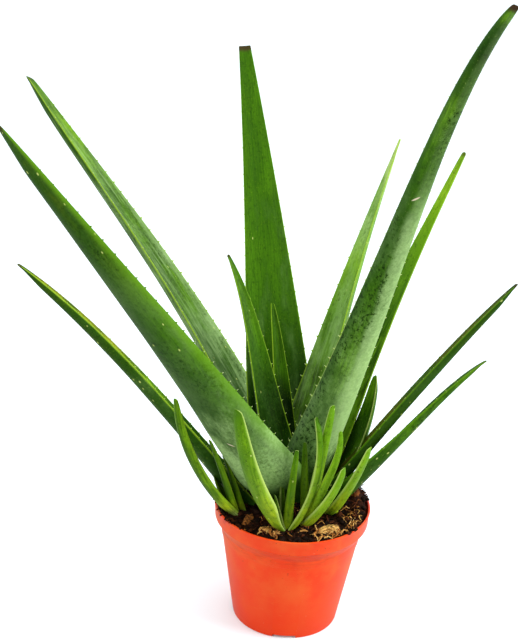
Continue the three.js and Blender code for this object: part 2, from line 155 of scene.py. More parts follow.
# Where a leaf was cut off, the share of its width kept up to the tip, and how much its root is narrowed.
ODD_LEAVES = {
    "leaf_back_tall": {"cut": 0.86}, "leaf_right_upper": {"tail": 0.14}, "leaf_front_right": {"tail": 0.27},
    "leaf_front_left": {"tail": 0.18}, "shoot_front 0": {"waist": 0.85},
}
SHOOTS = {
    "shoot_front": ((-4, -34), [
        (231.5, 12, 48, 26.5, 1.1, -14, 148, 23.5, 5, 0.38, 55, 3, 93),
        (200, 5, 75, 0, 1.1, 0, 32, 8, 3, 0.6, 40, 3, 93),
        (284.5, -11.5, 89, -24, 1, -4, 81.5, 7, 4, 0.7, 40, 1, 91),
        (330.5, -17.5, 66, 47.5, 1.9, 12, 102.5, 7, 4, 0.25, 35, 3, 93),
        (150, 0, 87, -4, 1.7, 0, 40, 10, 4, 0.68, 40, 4, 92),
    ]),
    "shoot_middle": ((9.5, -26), [
        (310, -13.5, 79.5, -0.7, 1, 0, 112, 9, 4, 0.32, 35, 1, 93),
        (295.5, 39.5, 66, 33.5, 4, -40, 97.5, 7, 4, 0.42, 35, 1, 93),
        (305, 6.5, 53.5, 26, 2.4, 12, 77, 12, 4, 0.3, 40, 1, 93),
        (243, 9, 77.5, 3, 1.7, -2, 77.5, 7.5, 4, 0.64, 40, -2, 93),
    ]),
    "shoot_right": ((30, -8), [
        (292.5, 9.5, 53.5, 18, 1.7, 22, 90, 13.5, 4, 0.34, 40, 1, 96),
        (272, 0, 52, -10, 1.9, 0, 14, 10, 4, 0.7, 40, 2, 96),
    ]),
    "shoot_left": ((-41, -15), [
        (211, 24, 50.5, 28.5, 1.4, 0, 128, 17, 4, 0.51, 40, 5, 94),
        (232, 0, 73, -12, 0.6, -11, 84, 7.5, 4, 0.5, 40, 3, 93),
        (230, -3, 72, -10.5, 1.1, -5.5, 61, 8, 4, 0.8, 40, -4, 93),
        (170, 0, 64.5, -2, 1.6, 0, 34, 12, 4, 0.66, 40, 5, 91),
    ]),
}

# Paints, as seen on a screen
PAINT = {
    # The darkest green: painted shade in the crown and between the shoots, and the real dark mottles and grit
    "shade and mottle dark": (8, 30, 0),
    "bottle": (32, 72, 3),
    "leaf": (66, 114, 8),
    "grass": (92, 142, 16),
    "spring": (122, 172, 20),
    "lime": (152, 192, 44),
    "new growth": (186, 212, 40),
    "pale": (188, 212, 116),
    "wax": (128, 170, 90),
    "sage": (158, 194, 124),
    "olive": (70, 90, 18),
    "bronze": (92, 94, 26),
    "husk": (62, 46, 28),
    "straw": (146, 151, 22),
    "cream": (220, 232, 176),
    "fleck": (200, 214, 120),
    "scar": (232, 216, 188),
    "orange": (234, 58, 0),
    "orange pale": (236, 112, 44),
    # Darker orange, for the painted shade round the pot's step
    "orange deep": (150, 34, 4),
    # Dark brown, for the pot's spots and for the soil dirt and painted shade under its lip
    "stain and shade": (64, 20, 8),
}


def linear(name):
    """A paint as the shader's linear colour."""
    parts = [c / 255 for c in PAINT[name]]
    return tuple(c / 12.92 if c <= 0.04045 else ((c + 0.055) / 1.055) ** 2.4 for c in parts) + (1,)


# Camera, floor and light
PHOTO_WIDTH = 518
FOCAL_PIXELS = 1376
SENSOR_WIDTH = 36
LOOK_DOWN = 22.7
CAMERA_ROLL = 3.65
AIM = (-0.0345, 0, 0.246)
ROOM_BRIGHT_WAY = (0.1, 0.45, 0.88)
ROOM_SPREAD = (-0.35, 0.9)
ROOM_STRENGTH = (0.3, 1.55)
LAMP_AIM = (0, 0, 0.2)
LAMPS = [
    ("right lamp", (1.25, -0.2, 0.7), 0.9, 19),
    ("left lamp", (-1.0, -1.2, 0.8), 1.0, 13),
]
FLOOR_SIZE = 70
FLOOR_WHITE = (0.85, 0.96, 1.0, 1)
FLOOR_BOUNCE = (0.5, 0.5, 0.5, 1)


def set_camera():
    """The photograph's view: a metre off, looking down a little, with a slight roll."""
    pitch, roll = math.radians(LOOK_DOWN), math.radians(CAMERA_ROLL)
    ahead = Vector((0, math.cos(pitch), -math.sin(pitch)))
    level = Vector((1, 0, 0))
    up = level.cross(ahead)
    right = level * math.cos(roll) + up * math.sin(roll)
    top = up * math.cos(roll) - level * math.sin(roll)
    camera = bpy.data.cameras.new("camera")
    camera.sensor_fit = "HORIZONTAL"
    camera.sensor_width = SENSOR_WIDTH
    camera.lens = SENSOR_WIDTH * FOCAL_PIXELS / PHOTO_WIDTH
    camera.clip_start, camera.clip_end = 0.05, 90
    holder = bpy.data.objects.new("camera", camera)
    bpy.context.scene.collection.objects.link(holder)
    turn = Matrix((right, top, -ahead)).transposed().to_4x4()
    holder.matrix_world = Matrix.Translation(Vector(AIM) - ahead) @ turn
    bpy.context.scene.camera = holder


def set_light():
    """Plain soft studio light: a white room, brightest above and behind, and soft lamps at both sides."""
    scene = bpy.context.scene
    scene.view_settings.view_transform = "Standard"
    world = bpy.data.worlds.new("room")
    scene.world = world
    world.use_nodes = True
    tree = world.node_tree
    way = put(tree, "TexCoord").outputs["Generated"]
    behind = put(tree, "VectorMath", {0: way, 1: ROOM_BRIGHT_WAY}, operation="DOT_PRODUCT").outputs["Value"]
    background = tree.nodes["Background"]
    background.inputs["Color"].default_value = (1, 1, 1, 1)
    tree.links.new(between(tree, behind, *ROOM_SPREAD, *ROOM_STRENGTH), background.inputs["Strength"])
    for name, place, size, power in LAMPS:
        lamp = bpy.data.lights.new(name, "AREA")
        lamp.size = size
        lamp.energy = power
        holder = bpy.data.objects.new(name, lamp)
        scene.collection.objects.link(holder)
        holder.location = place
        holder.rotation_euler = (Vector(LAMP_AIM) - Vector(place)).to_track_quat("-Z", "Y").to_euler()


def lay_floor():
    """A plain white floor. What it throws back onto the plant is duller than what the camera sees."""
    deselect()
    bpy.ops.mesh.primitive_plane_add(size=FLOOR_SIZE)
    floor = bpy.context.object
    floor.name = "floor"
    paint, tree, shader = new_material("floor_white", 1, 0)
    seen = put(tree, "LightPath").outputs["Is Camera Ray"]
    tree.links.new(blend_paint(tree, seen, FLOOR_BOUNCE, FLOOR_WHITE), shader.inputs["Base Color"])
    floor.data.materials.append(paint)


# Selecting and shaping
def deselect():
    bpy.ops.object.select_all(action="DESELECT")


def pick(piece):
    """Makes one piece the only one selected."""
    deselect()
    piece.select_set(True)
    bpy.context.view_layer.objects.active = piece


@contextmanager
def editing(piece):
    """Edit mode on one piece, with all of it selected."""
    pick(piece)
    bpy.ops.object.mode_set(mode="EDIT")
    bpy.ops.mesh.select_all(action="SELECT")
    yield
    bpy.ops.object.mode_set(mode="OBJECT")


def join_pieces(first, others):
    pick(first)
    for piece in others:
        piece.select_set(True)
    bpy.ops.object.join()
    return first


def new_piece(name, points, faces, edges=()):
    """A piece from points in millimetres."""
    mesh = bpy.data.meshes.new(name)
    mesh.from_pydata((np.asarray(points) * MM).tolist(), edges, faces)
    piece = bpy.data.objects.new(name, mesh)
    bpy.context.scene.collection.objects.link(piece)
    return piece


def rolled_grid(name, columns, rows):
    """A flat grid for its maker to roll up into a closed skin, with the column and the row of each point."""
    deselect()
    bpy.ops.mesh.primitive_grid_add(x_subdivisions=columns, y_subdivisions=rows, size=2)
    piece = bpy.context.object
    piece.name = piece.data.name = name
    grid = read_points(piece.data)
    column = np.rint((grid[:, 0] + 1) / 2 * columns).astype(int)
    row = np.rint((grid[:, 1] + 1) / 2 * rows).astype(int)
    return piece, column, row


def read_points(mesh):
    places = np.empty(len(mesh.vertices) * 3, np.float32)
    mesh.vertices.foreach_get("co", places)
    return places.reshape(-1, 3)


def write_points(mesh, places):
    mesh.vertices.foreach_set("co", np.asarray(places, np.float32).ravel())
    mesh.update()


def note(mesh, name, values):
    """Keeps a value, or a vector, at each point for the finish to read."""
    values = np.asarray(values, np.float32)
    kind = "FLOAT_VECTOR" if values.ndim == 2 else "FLOAT"
    layer = mesh.attributes.new(name, kind, "POINT")
    layer.data.foreach_set("vector" if values.ndim == 2 else "value", values.ravel())


def face_outwards(piece):
    """Turns every face outwards and shades the piece smooth."""
    with editing(piece):
        bpy.ops.mesh.normals_make_consistent(inside=False)
    bpy.ops.object.shade_smooth()


def close_skin(piece, cap=True):
    """Merges the seam and the poles of a rolled grid, and caps its open ends."""
    with editing(piece):
        bpy.ops.mesh.remove_doubles(threshold=SKIN_MERGE)
        if cap:
            bpy.ops.mesh.select_all(action="DESELECT")
            bpy.ops.mesh.select_mode(type="EDGE")
            bpy.ops.mesh.select_non_manifold(
                extend=False, use_wire=False, use_multi_face=False, use_verts=False,
            )
            bpy.ops.mesh.fill()
            bpy.ops.mesh.select_mode(type="VERT")
    face_outwards(piece)


def settle(piece, nodes, material):
    """Puts a finished piece in place of its CAD nodes."""
    piece.data.materials.clear()
    piece.data.materials.append(material)
    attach(piece, "root")
    if nodes:
        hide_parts(*nodes)


# Shader helpers
def put(tree, kind, plugs=None, **settings):
    """A node with its settings; plugs gives each input a value or the socket that feeds it."""
    node = tree.nodes.new("ShaderNode" + kind)
    for name, value in settings.items():
        setattr(node, name, value)
    for name, value in (plugs or {}).items():
        if isinstance(value, bpy.types.NodeSocket):
            tree.links.new(value, node.inputs[name])
        else:
            node.inputs[name].default_value = value
    return node


def attribute(tree, name, part="Fac"):
    return put(tree, "Attribute", attribute_name=name).outputs[part]


def sums(tree, way, first, second=0.0):
    return put(tree, "Math", {0: first, 1: second}, operation=way).outputs[0]


def times(tree, first, *others):
    """The product of two or more values."""
    for other in others:
        first = sums(tree, "MULTIPLY", first, other)
    return first


def between(tree, value, low, high, start=0.0, end=1.0):
    """value taken smoothly from start to end as it goes from low to high."""
    plugs = {"Value": value, "From Min": low, "From Max": high, "To Min": start, "To Max": end}
    return put(tree, "MapRange", plugs, interpolation_type="SMOOTHSTEP").outputs[0]


def stretched(tree, place, scale):
    return put(tree, "Mapping", {"Vector": place, "Scale": scale}, vector_type="POINT").outputs[0]


def grain(tree, place, scale, detail=3.0, roughness=0.55):
    plugs = {"Vector": place, "Scale": scale, "Detail": detail, "Roughness": roughness}
    return put(tree, "TexNoise", plugs).outputs["Fac"]


def blend_paint(tree, amount, under, over):
    return put(tree, "Mix", {0: amount, 6: under, 7: over}, data_type="RGBA").outputs[2]


def lay_coats(tree, tone, coats):
    """A tone under coats of paint, from the bottom up: how much of each there is, and its name or colour."""
    for amount, paint in coats:
        tone = blend_paint(tree, amount, tone, linear(paint) if isinstance(paint, str) else paint)
    return tone


def paint_ramp(tree, value, stops):
    """The colour at value along the stops, each a position from 0 to 1 and a linear colour."""
    ramp = put(tree, "ValToRGB", {"Fac": value})
    elements = ramp.color_ramp.elements
    while len(elements) < len(stops):
        elements.new(0.5)
    for element, (position, colour) in zip(elements, stops):
        element.position = position
        element.color = colour
    return ramp.outputs["Color"]


def new_group(name, inputs, outputs):
    """An empty shader group with its sockets, and the sockets inside it."""
    tree = bpy.data.node_groups.new(name, "ShaderNodeTree")
    for socket, kind, value in inputs:
        made = tree.interface.new_socket(socket, in_out="INPUT", socket_type="NodeSocket" + kind)
        made.default_value = value
    for socket, kind in outputs:
        tree.interface.new_socket(socket, in_out="OUTPUT", socket_type="NodeSocket" + kind)
    start = tree.nodes.new("NodeGroupInput")
    end = tree.nodes.new("NodeGroupOutput")
    return tree, start.outputs, end.inputs


def new_material(name, roughness, gloss=0.5):
    material = bpy.data.materials.new(name)
    material.use_nodes = True
    shader = material.node_tree.nodes["Principled BSDF"]
    shader.inputs["Roughness"].default_value = roughness
    shader.inputs["Specular IOR Level"].default_value = gloss
    return material, material.node_tree, shader


def dress(tree, shader, tone, height, strength, distance):
    """Gives a finish its colour and its fine relief."""
    tree.links.new(tone, shader.inputs["Base Color"])
    bump = put(tree, "Bump", {"Height": height, "Strength": strength, "Distance": distance})
    tree.links.new(bump.outputs[0], shader.inputs["Normal"])


# The leaves' skin. Each grain: its turns across, along and between the faces, its detail and roughness.
SKIN_PAINTS = {"Flesh": "leaf", "Deep": "bottle", "Edge": "pale", "Wax": "wax"}
SKIN_AMOUNTS = [
    "Bloom", "Mottle", "Flecks", "Streaks", "Clouds", "Channel", "Underside Shade", "Painted Light Side", "Painted Light Shift",
    "Root Bloom", "Edge Width", "Dry Tip", "Mark Turn", "Seed",
]
SKIN_GRAINS = {
    "lines": ((1300, 42, 40), 4.0, 0.55),
    "clouds": ((75, 24, 30), 4.0, 0.6),
    "specks": ((1000, 600, 100), 2.0, 0.7),
    "grit": ((640, 340, 90), 4.0, 0.75),
    "patches": ((34, 12, 30), 2.0, 0.55),
    "crumbs": ((620, 330, 40), 4.0, 0.7),
    "bloom": ((60, 20, 20), 6.0, 0.65),
    "bands": ((80, 26, 30), 1.0, 0.55),
    "brushed": ((300, 16, 30), 4.0, 0.6),
    "worn": ((300, 60, 30), 3.0, 0.55),
}
FLECK_CELLS = (900, 300, 60)
SCRATCH_SIZE = (0.0006, 0.0034, 0.01)
USUAL_MARKINGS = dict(clouds=0.85, edge_width=0.05)
LEAF_GLOSS = 0.05
LEAF_BUMP = (0.35, 0.0006)


def make_leaf_skin():
    """Leaf skin: lengthwise grain, waxy bloom rubbed off in dark mottles, flecks, streaks partly of painted
    sheen, a pale edge, and painted light and shade.
    """
    tree, given, out = new_group(
        "leaf_skin",
        [(word, "Color", linear(paint)) for word, paint in SKIN_PAINTS.items()]
        + [(word, "Float", 0.0) for word in SKIN_AMOUNTS]
        + [("Mark", "Vector", (0, -1, 0))],
        [("Color", "Color"), ("Roughness", "Float"), ("Height", "Float")],
    )

    def mask(value, low, high, start=0.0, end=1.0):
        return between(tree, value, low, high, start, end)

    def plus(first, second):
        return sums(tree, "ADD", first, second)

    def some(*values):
        return times(tree, *values)

    flat_place = attribute(tree, "place", "Vector")
    seed = put(tree, "CombineXYZ", {"Z": given["Seed"]}).outputs[0]
    place = put(tree, "VectorMath", {0: flat_place, 1: seed}, operation="ADD").outputs[0]
    sideways, along, spine = (attribute(tree, word) for word in ("side", "along", "spine"))
    side = sums(tree, "ABSOLUTE", sideways)
    lines, clouds, specks, grit, patches, crumbs, bloom, bands, brushed, worn = (
        grain(tree, stretched(tree, place, turns), 1.0, detail, rough)
        for turns, detail, rough in SKIN_GRAINS.values()
    )

    # Painted shade on the outer face and down the channel in the middle; a painted highlight on the lit side,
    # paler up to the leaf's middle, and painted shade on the other side
    under = mask(put(tree, "SeparateXYZ", {0: flat_place}).outputs["Z"], 0.01, 0.03)
    channel = some(mask(plus(side, some(clouds, 0.5)), 1.0, 0.3), mask(along, 0.12, 0.34, 0.25, 1.0))
    lit = plus(some(sideways, given["Painted Light Side"]), given["Painted Light Shift"])
    unrest = some(sums(tree, "SUBTRACT", clouds, 0.5), 1.1)
    # Near the crown the lit side's painted highlight and the root's bloom give way, leaving the root in
    # painted shade
    clear_of_crown = mask(along, 0.07, 0.17)
    pale = some(mask(plus(lit, unrest), 0.0, 0.7), mask(along, 0.72, 0.52, 0.15, 1.0), clear_of_crown)
    shady = mask(sums(tree, "SUBTRACT", unrest, lit), 0.0, 0.85, 0.0, 0.75)

    # Dark mottles where the wax is rubbed off, the wax itself with the lit side's painted highlight mixed in,
    # and smudges over both
    mottle = some(
        mask(patches, 0.42, 0.58), mask(crumbs, 0.5, 0.66), mask(along, 0.92, 0.75),
        mask(along, 0.08, 0.26, 0.6, 1.0), mask(pale, 0.3, 1.0, 1.0, 0.15), given["Mottle"],
    )
    mottle = sums(tree, "MINIMUM", mottle, 1.0)
    bare = sums(tree, "SUBTRACT", 1.0, mottle)
    wax_and_sheen = some(mask(bloom, 0.4, 0.64, 0.1, 1.0), given["Bloom"], mask(along, 0.9, 0.6, 0.2, 1.0))
    wax_and_sheen = sums(tree, "MINIMUM", some(plus(wax_and_sheen, some(pale, 0.8)), bare), 0.9)
    wax_and_sheen = some(wax_and_sheen, mask(grit, 0.35, 0.6, 1.0, 0.7))
    smudge = some(
        mask(patches, 0.48, 0.64), sums(tree, "MINIMUM", given["Mottle"], 1.0),
        mask(grit, 0.4, 0.56, 0.15, 0.55), mask(pale, 0.3, 1.0, 1.0, 0.35),
    )
    low = some(
        mask(plus(along, some(unrest, 0.5)), 0.4, 0.12), mask(grit, 0.35, 0.62, 1.0, 0.5),
        clear_of_crown, bare,
    )

    # Small pale flecks in bands, the worn margin, the scratch and the dry tip
    plugs = {"Vector": stretched(tree, place, FLECK_CELLS), "Scale": 1.0, "Randomness": 1.0}
    cells = put(tree, "TexVoronoi", plugs)
    lot = put(tree, "SeparateColor", {0: cells.outputs["Color"]}).outputs[0]
    chosen = sums(tree, "GREATER_THAN", some(given["Flecks"], mask(bands, 0.45, 0.6, 0.2, 1.6)), lot)
    fleck = some(mask(cells.outputs["Distance"], 0.45, 0.15), chosen)
    edge = mask(plus(side, some(worn, 0.04)), sums(tree, "SUBTRACT", 1.0, given["Edge Width"]), 1.03)
    turned = put(tree, "CombineXYZ", {"Z": given["Mark Turn"]}).outputs[0]
    plugs = {"Vector": flat_place, "Location": given["Mark"], "Rotation": turned, "Scale": SCRATCH_SIZE}
    scratch = put(tree, "Mapping", plugs, vector_type="TEXTURE").outputs[0]
    scratch = put(tree, "VectorMath", {0: scratch}, operation="LENGTH").outputs["Value"]
    dry = mask(plus(along, some(crumbs, 0.01)), 0.988, 0.998)

    tone = lay_coats(tree, given["Flesh"], [
        (some(mask(clouds, 0.38, 0.62), given["Clouds"]), given["Deep"]),
        # Painted shade on the outer, lower face
        (some(under, given["Underside Shade"]), given["Deep"]),
        # Painted shade down the channel in the middle of the blade
        (some(channel, given["Channel"]), given["Deep"]),
        (mask(lines, 0.42, 0.68, 0.0, 0.55), given["Deep"]),
        (mask(specks, 0.58, 0.78, 0.0, 0.26), given["Edge"]),
        (mask(grit, 0.52, 0.68, 0.0, 0.5), "shade and mottle dark"),
        # Painted shade on the side away from the light
        (shady, given["Deep"]),
        # Wax, with the lit side's painted highlight mixed in
        (wax_and_sheen, given["Wax"]),
        (smudge, given["Deep"]),
        (some(mottle, 0.75), "shade and mottle dark"),
        (some(fleck, 0.85), "fleck"),
        # Streaks along the blade, partly real wax and partly painted sheen
        (some(mask(brushed, 0.46, 0.7), given["Streaks"]), given["Wax"]),
        (some(edge, 0.75), given["Edge"]),
        (some(low, given["Root Bloom"]), given["Wax"]),
        (mask(spine, 0.0, 0.5), given["Edge"]),
        (mask(spine, 0.45, 0.9), "cream"),
        # Painted shade on shoot blades that lie in shadow
        (attribute(tree, "painted_shade"), "shade and mottle dark"),
        (mask(scratch, 1.0, 0.6, 0.0, 0.85), "scar"),
        (some(dry, given["Dry Tip"]), "husk"),
    ])
    rough = plus(plus(plus(0.36, some(wax_and_sheen, 0.25)), some(lines, 0.12)), some(dry, 0.2))
    height = plus(plus(some(lines, 0.5), some(clouds, 0.7)), some(specks, 0.3))
    tree.links.new(tone, out["Color"])
    tree.links.new(rough, out["Roughness"])
    tree.links.new(height, out["Height"])
    return tree


def leaf_material(name, skin, tones, deep, edge, wax="wax", **amounts):
    """A leaf's own finish: its paints from root to tip and how much of each marking it bears."""
    material, tree, shader = new_material(name, 0.5, LEAF_GLOSS)
    stops = [(place, linear(paint)) for place, paint in tones.items()]
    flesh = paint_ramp(tree, attribute(tree, "along"), stops)
    group = tree.nodes.new("ShaderNodeGroup")
    group.node_tree = skin
    tree.links.new(flesh, group.inputs["Flesh"])
    for word, paint in (("Deep", deep), ("Edge", edge), ("Wax", wax)):
        group.inputs[word].default_value = linear(paint)
    for word, value in (USUAL_MARKINGS | amounts).items():
        group.inputs[word.replace("_", " ").title()].default_value = value
    tree.links.new(group.outputs["Roughness"], shader.inputs["Roughness"])
    dress(tree, shader, group.outputs["Color"], group.outputs["Height"], *LEAF_BUMP)
    return material


# The leaves' shape
def smooth(value):
    value = np.clip(value, 0, 1)
    return value * value * (3 - 2 * value)


def middle_line(leaf, crown, t):
    """Points of the leaf's middle line at t, with the ways along, across and out of its inner face."""

    def ways(at):
        at = np.maximum(at, 0)
        heading = np.radians(leaf["heading"] + leaf["sway"] * at)
        slope = np.radians(leaf["rise"] + leaf["bend"] * at ** leaf["curl"])
        flat = np.cos(slope)
        along = np.stack([flat * np.cos(heading), flat * np.sin(heading), np.sin(slope)], -1)
        level = np.stack([np.sin(heading), -np.cos(heading), 0 * heading], -1)
        return along, level

    root = math.radians(leaf["heading"])
    start = [crown[0] + leaf["out"] * math.cos(root), crown[1] + leaf["out"] * math.sin(root), leaf["foot"]]
    halves = (np.arange(LINE_STEPS) + 0.5) / LINE_STEPS
    walked = np.cumsum(ways(halves)[0] * leaf["long"] / LINE_STEPS, 0)
    points = np.concatenate([[start], start + walked])
    spots = np.linspace(0, 1, LINE_STEPS + 1)
    place = np.stack([np.interp(t, spots, points[:, k]) for k in range(3)], -1)
    place += ways(np.zeros(1))[0] * np.minimum(t, 0)[:, None] * leaf["long"]
    along, level = ways(t)
    roll = math.radians(leaf["roll"])
    face = np.cross(level, along) * math.cos(roll) + level * math.sin(roll)
    return place, along, np.cross(along, face), face


def root_length(leaf):
    """How far a leaf's root runs on into the crown, to its seat on the stem."""
    slope = math.radians(leaf["rise"])
    down = (leaf["foot"] - ROOT_SEAT_HEIGHT) / math.sin(slope)
    inward = (leaf["out"] - ROOT_SEAT_RADIUS) / math.cos(slope)
    return min(max(down, inward, ROOT_SHORTEST), ROOT_LONGEST)


def section(leaf, t):
    """Width, thickness and half the angle of wrap of the blade at t."""
    left = np.clip(1 - np.maximum(t, 0), 0, 1)
    tail = leaf.get("tail", 0)
    full = (1 - tail) * left ** leaf["taper"] + tail * left**TAIL_POWER
    waist = 1 - leaf.get("waist", 0) * (1 - smooth(t / WAIST_END))
    crown_share = 1 + ROOT_NARROWING * np.minimum(t, 0) * leaf["long"] / root_length(leaf)
    width = (TIP_WIDTH + (leaf["wide"] - TIP_WIDTH) * full) * crown_share * waist
    sheath = SHEATH_THICKNESS + (1 - SHEATH_THICKNESS) * smooth(t / SHEATH_THICKENING_END)
    tip_share = np.sqrt(np.minimum(1, left * TIP_ROUNDING))
    fullness = THIN_SHARE + (1 - THIN_SHARE) * full
    thickness = np.maximum(leaf["thick"] * fullness * sheath * tip_share, TIP_THICKNESS)
    wrap = np.radians(SHEATH_WRAP + (leaf["wrap"] - SHEATH_WRAP) * smooth(t / SHEATH_END))
    return width, thickness, wrap


def make_blade(name, leaf, crown, seed):
    """A leaf blade: a grid rolled round the leaf's two faces, with rounded edges and a closed tip."""
    long, kept = leaf["long"], leaf.get("cut", 1)
    columns = BROAD_COLUMNS if leaf["wide"] > BROAD_LEAF else NARROW_COLUMNS
    near_tip = section(leaf, np.array([1 - TIP_MEASURE / long]))[0][0]
    closing = CUT_CLOSING if "cut" in leaf else float(np.clip(0.5 * near_tip, *TIP_CLOSING))
    tip_start = (long * kept - closing) / long
    t_rows = np.concatenate([
        np.linspace(-root_length(leaf) / long, tip_start, max(FEWEST_ROWS, round(long / ROW_LENGTH)) + 1),
        tip_start + closing / long * np.sin(np.linspace(0, math.pi / 2, TIP_ROWS + 1))[1:],
    ])
    piece, column, row = rolled_grid(name, columns, len(t_rows) - 1)

    t = t_rows[row]
    turn = column / columns * FULL_TURN
    u = -np.cos(turn)
    outer = np.where(np.sin(turn) < -1e-9, 1.0, 0.0)
    width, thickness, wrap = (values[row] for values in section(leaf, t_rows))
    done = np.clip((t - tip_start) / (closing / long), 0, 1)
    shut = np.sqrt(np.clip(1 - done**2, 0, 1))
    if "cut" in leaf:
        shut = 1 - CUT_ROUNDING + CUT_ROUNDING * shut
    edge = np.minimum(EDGE_THICKNESS, thickness)
    round_off = np.sqrt(np.clip(1 - np.abs(u) ** EDGE_POWER, 0, 1))
    inner_sink = edge * (1 - round_off) / 2
    full_sink = edge * round_off + (thickness - edge) * (1 - np.abs(u) ** BELLY_POWER)
    sink = inner_sink + full_sink / 2 + (outer - 0.5) * full_sink * shut * np.where(np.abs(u) > 0.9999, 0, 1)
    radius = width / (2 * wrap)
    angle = u * wrap * shut
    place, along, across, face = (values[row] for values in middle_line(leaf, crown, t_rows))

    rng = random.Random(seed)
    shift = Vector((rng.uniform(0, 90), rng.uniform(0, 90), rng.uniform(0, 90)))
    wave = np.array([
        noise.noise(shift + Vector((a * WAVE_TURNS[0], b * WAVE_TURNS[1], c * WAVE_TURNS[2])))
        for a, b, c in zip(u * width / 2, t * long, outer * (1 - np.abs(u) ** 4))
    ])
    sink = sink + wave * BLADE_WAVE * thickness * smooth(t / 0.1 + 0.4) * shut
    side = (radius + sink) * np.sin(angle)
    lift = radius - (radius + sink) * np.cos(angle)
    write_points(piece.data, (place + across * side[:, None] + face * lift[:, None]) * MM)
    note(piece.data, "along", t / kept)
    note(piece.data, "side", u)
    note(piece.data, "spine", 0 * u)
    note(piece.data, "place", np.stack([u * width / 2, t * long, outer * OUTER_FACE], -1) * MM)
    close_skin(piece)
    return piece


def make_tooth():
    """One tooth as points and faces: a flattened cone, bowed towards the leaf's tip, with its foot at 0."""
    deselect()
    bpy.ops.mesh.primitive_cone_add(
        vertices=TOOTH_SIDES, radius1=1, radius2=0.02, depth=1, location=(0, 0, 0.5),
    )
    tooth = bpy.context.object
    with editing(tooth):
        for height in TOOTH_RINGS:
            bpy.ops.mesh.bisect(plane_co=(0, 0, height), plane_no=(0, 0, 1))
            bpy.ops.mesh.select_all(action="SELECT")
        bpy.ops.mesh.quads_convert_to_tris()
    bpy.ops.object.transform_apply(location=True, rotation=True, scale=True)
    places = read_points(tooth.data).astype(float)
    height = places[:, 2:].copy()
    places[:, :2] *= 1 - TOOTH_WAIST * np.sin(np.clip(height, 0, 1) * math.pi)
    places[:, :1] += TOOTH_LEAN * height**2
    faces = [list(face.vertices) for face in tooth.data.polygons]
    bpy.data.objects.remove(tooth)
    return places, faces


def add_teeth(blade, leaf, crown, tooth, seed):
    """Teeth along both edges of a blade, each a copy of the one tooth, joined to the blade's object."""
    rng = random.Random(seed)
    shape, faces = tooth
    kept = leaf.get("cut", 1)
    share = CUT_LEAF_TEETH if "cut" in leaf else 1.0
    points, sides = [], []
    notes = {"along": [], "side": [], "spine": [], "place": []}
    for edge_side in (-1, 1):
        distance = TOOTH_START + rng.uniform(0, TOOTH_STEP)
        while distance < leaf["long"] * TOOTH_END * kept:
            t = np.array([distance / leaf["long"]])
            width, _, wrap = (values[0] for values in section(leaf, t))
            size = min(1.0, TOOTH_LEAST + width / WIDTH_PER_TOOTH) * share * rng.uniform(*TOOTH_UNEVENNESS)
            place, along, across, face = (values[0] for values in middle_line(leaf, crown, t))
            radius, angle = width / (2 * wrap), edge_side * wrap
            reach = radius + EDGE_THICKNESS / 2
            foot = place + across * reach * math.sin(angle) + face * (radius - reach * math.cos(angle))
            out = across * edge_side * math.cos(wrap) + face * math.sin(wrap)
            local = shape * (np.array(TOOTH_SPREAD) * size)
            local[:, 2] -= TOOTH_SINK * size
            sides += [[v + len(shape) * len(points) for v in side] for side in faces]
            through = np.cross(out, along)
            points.append(foot + local[:, :1] * along + local[:, 1:2] * through + local[:, 2:] * out)
            notes["along"].append(np.full(len(shape), t[0] / kept))
            notes["side"].append(np.full(len(shape), float(edge_side)))
            notes["spine"].append(np.clip(shape[:, 2], 0, 1))
            spot = np.array([edge_side * width / 2, distance, 0]) * MM
            notes["place"].append(np.tile(spot, (len(shape), 1)))
            distance += TOOTH_STEP * rng.uniform(*STEP_UNEVENNESS)
    teeth = new_piece(blade.name + "_teeth", np.concatenate(points), sides)
    for word, values in notes.items():
        note(teeth.data, word, np.concatenate(values))
    face_outwards(teeth)
    return join_pieces(blade, [teeth])
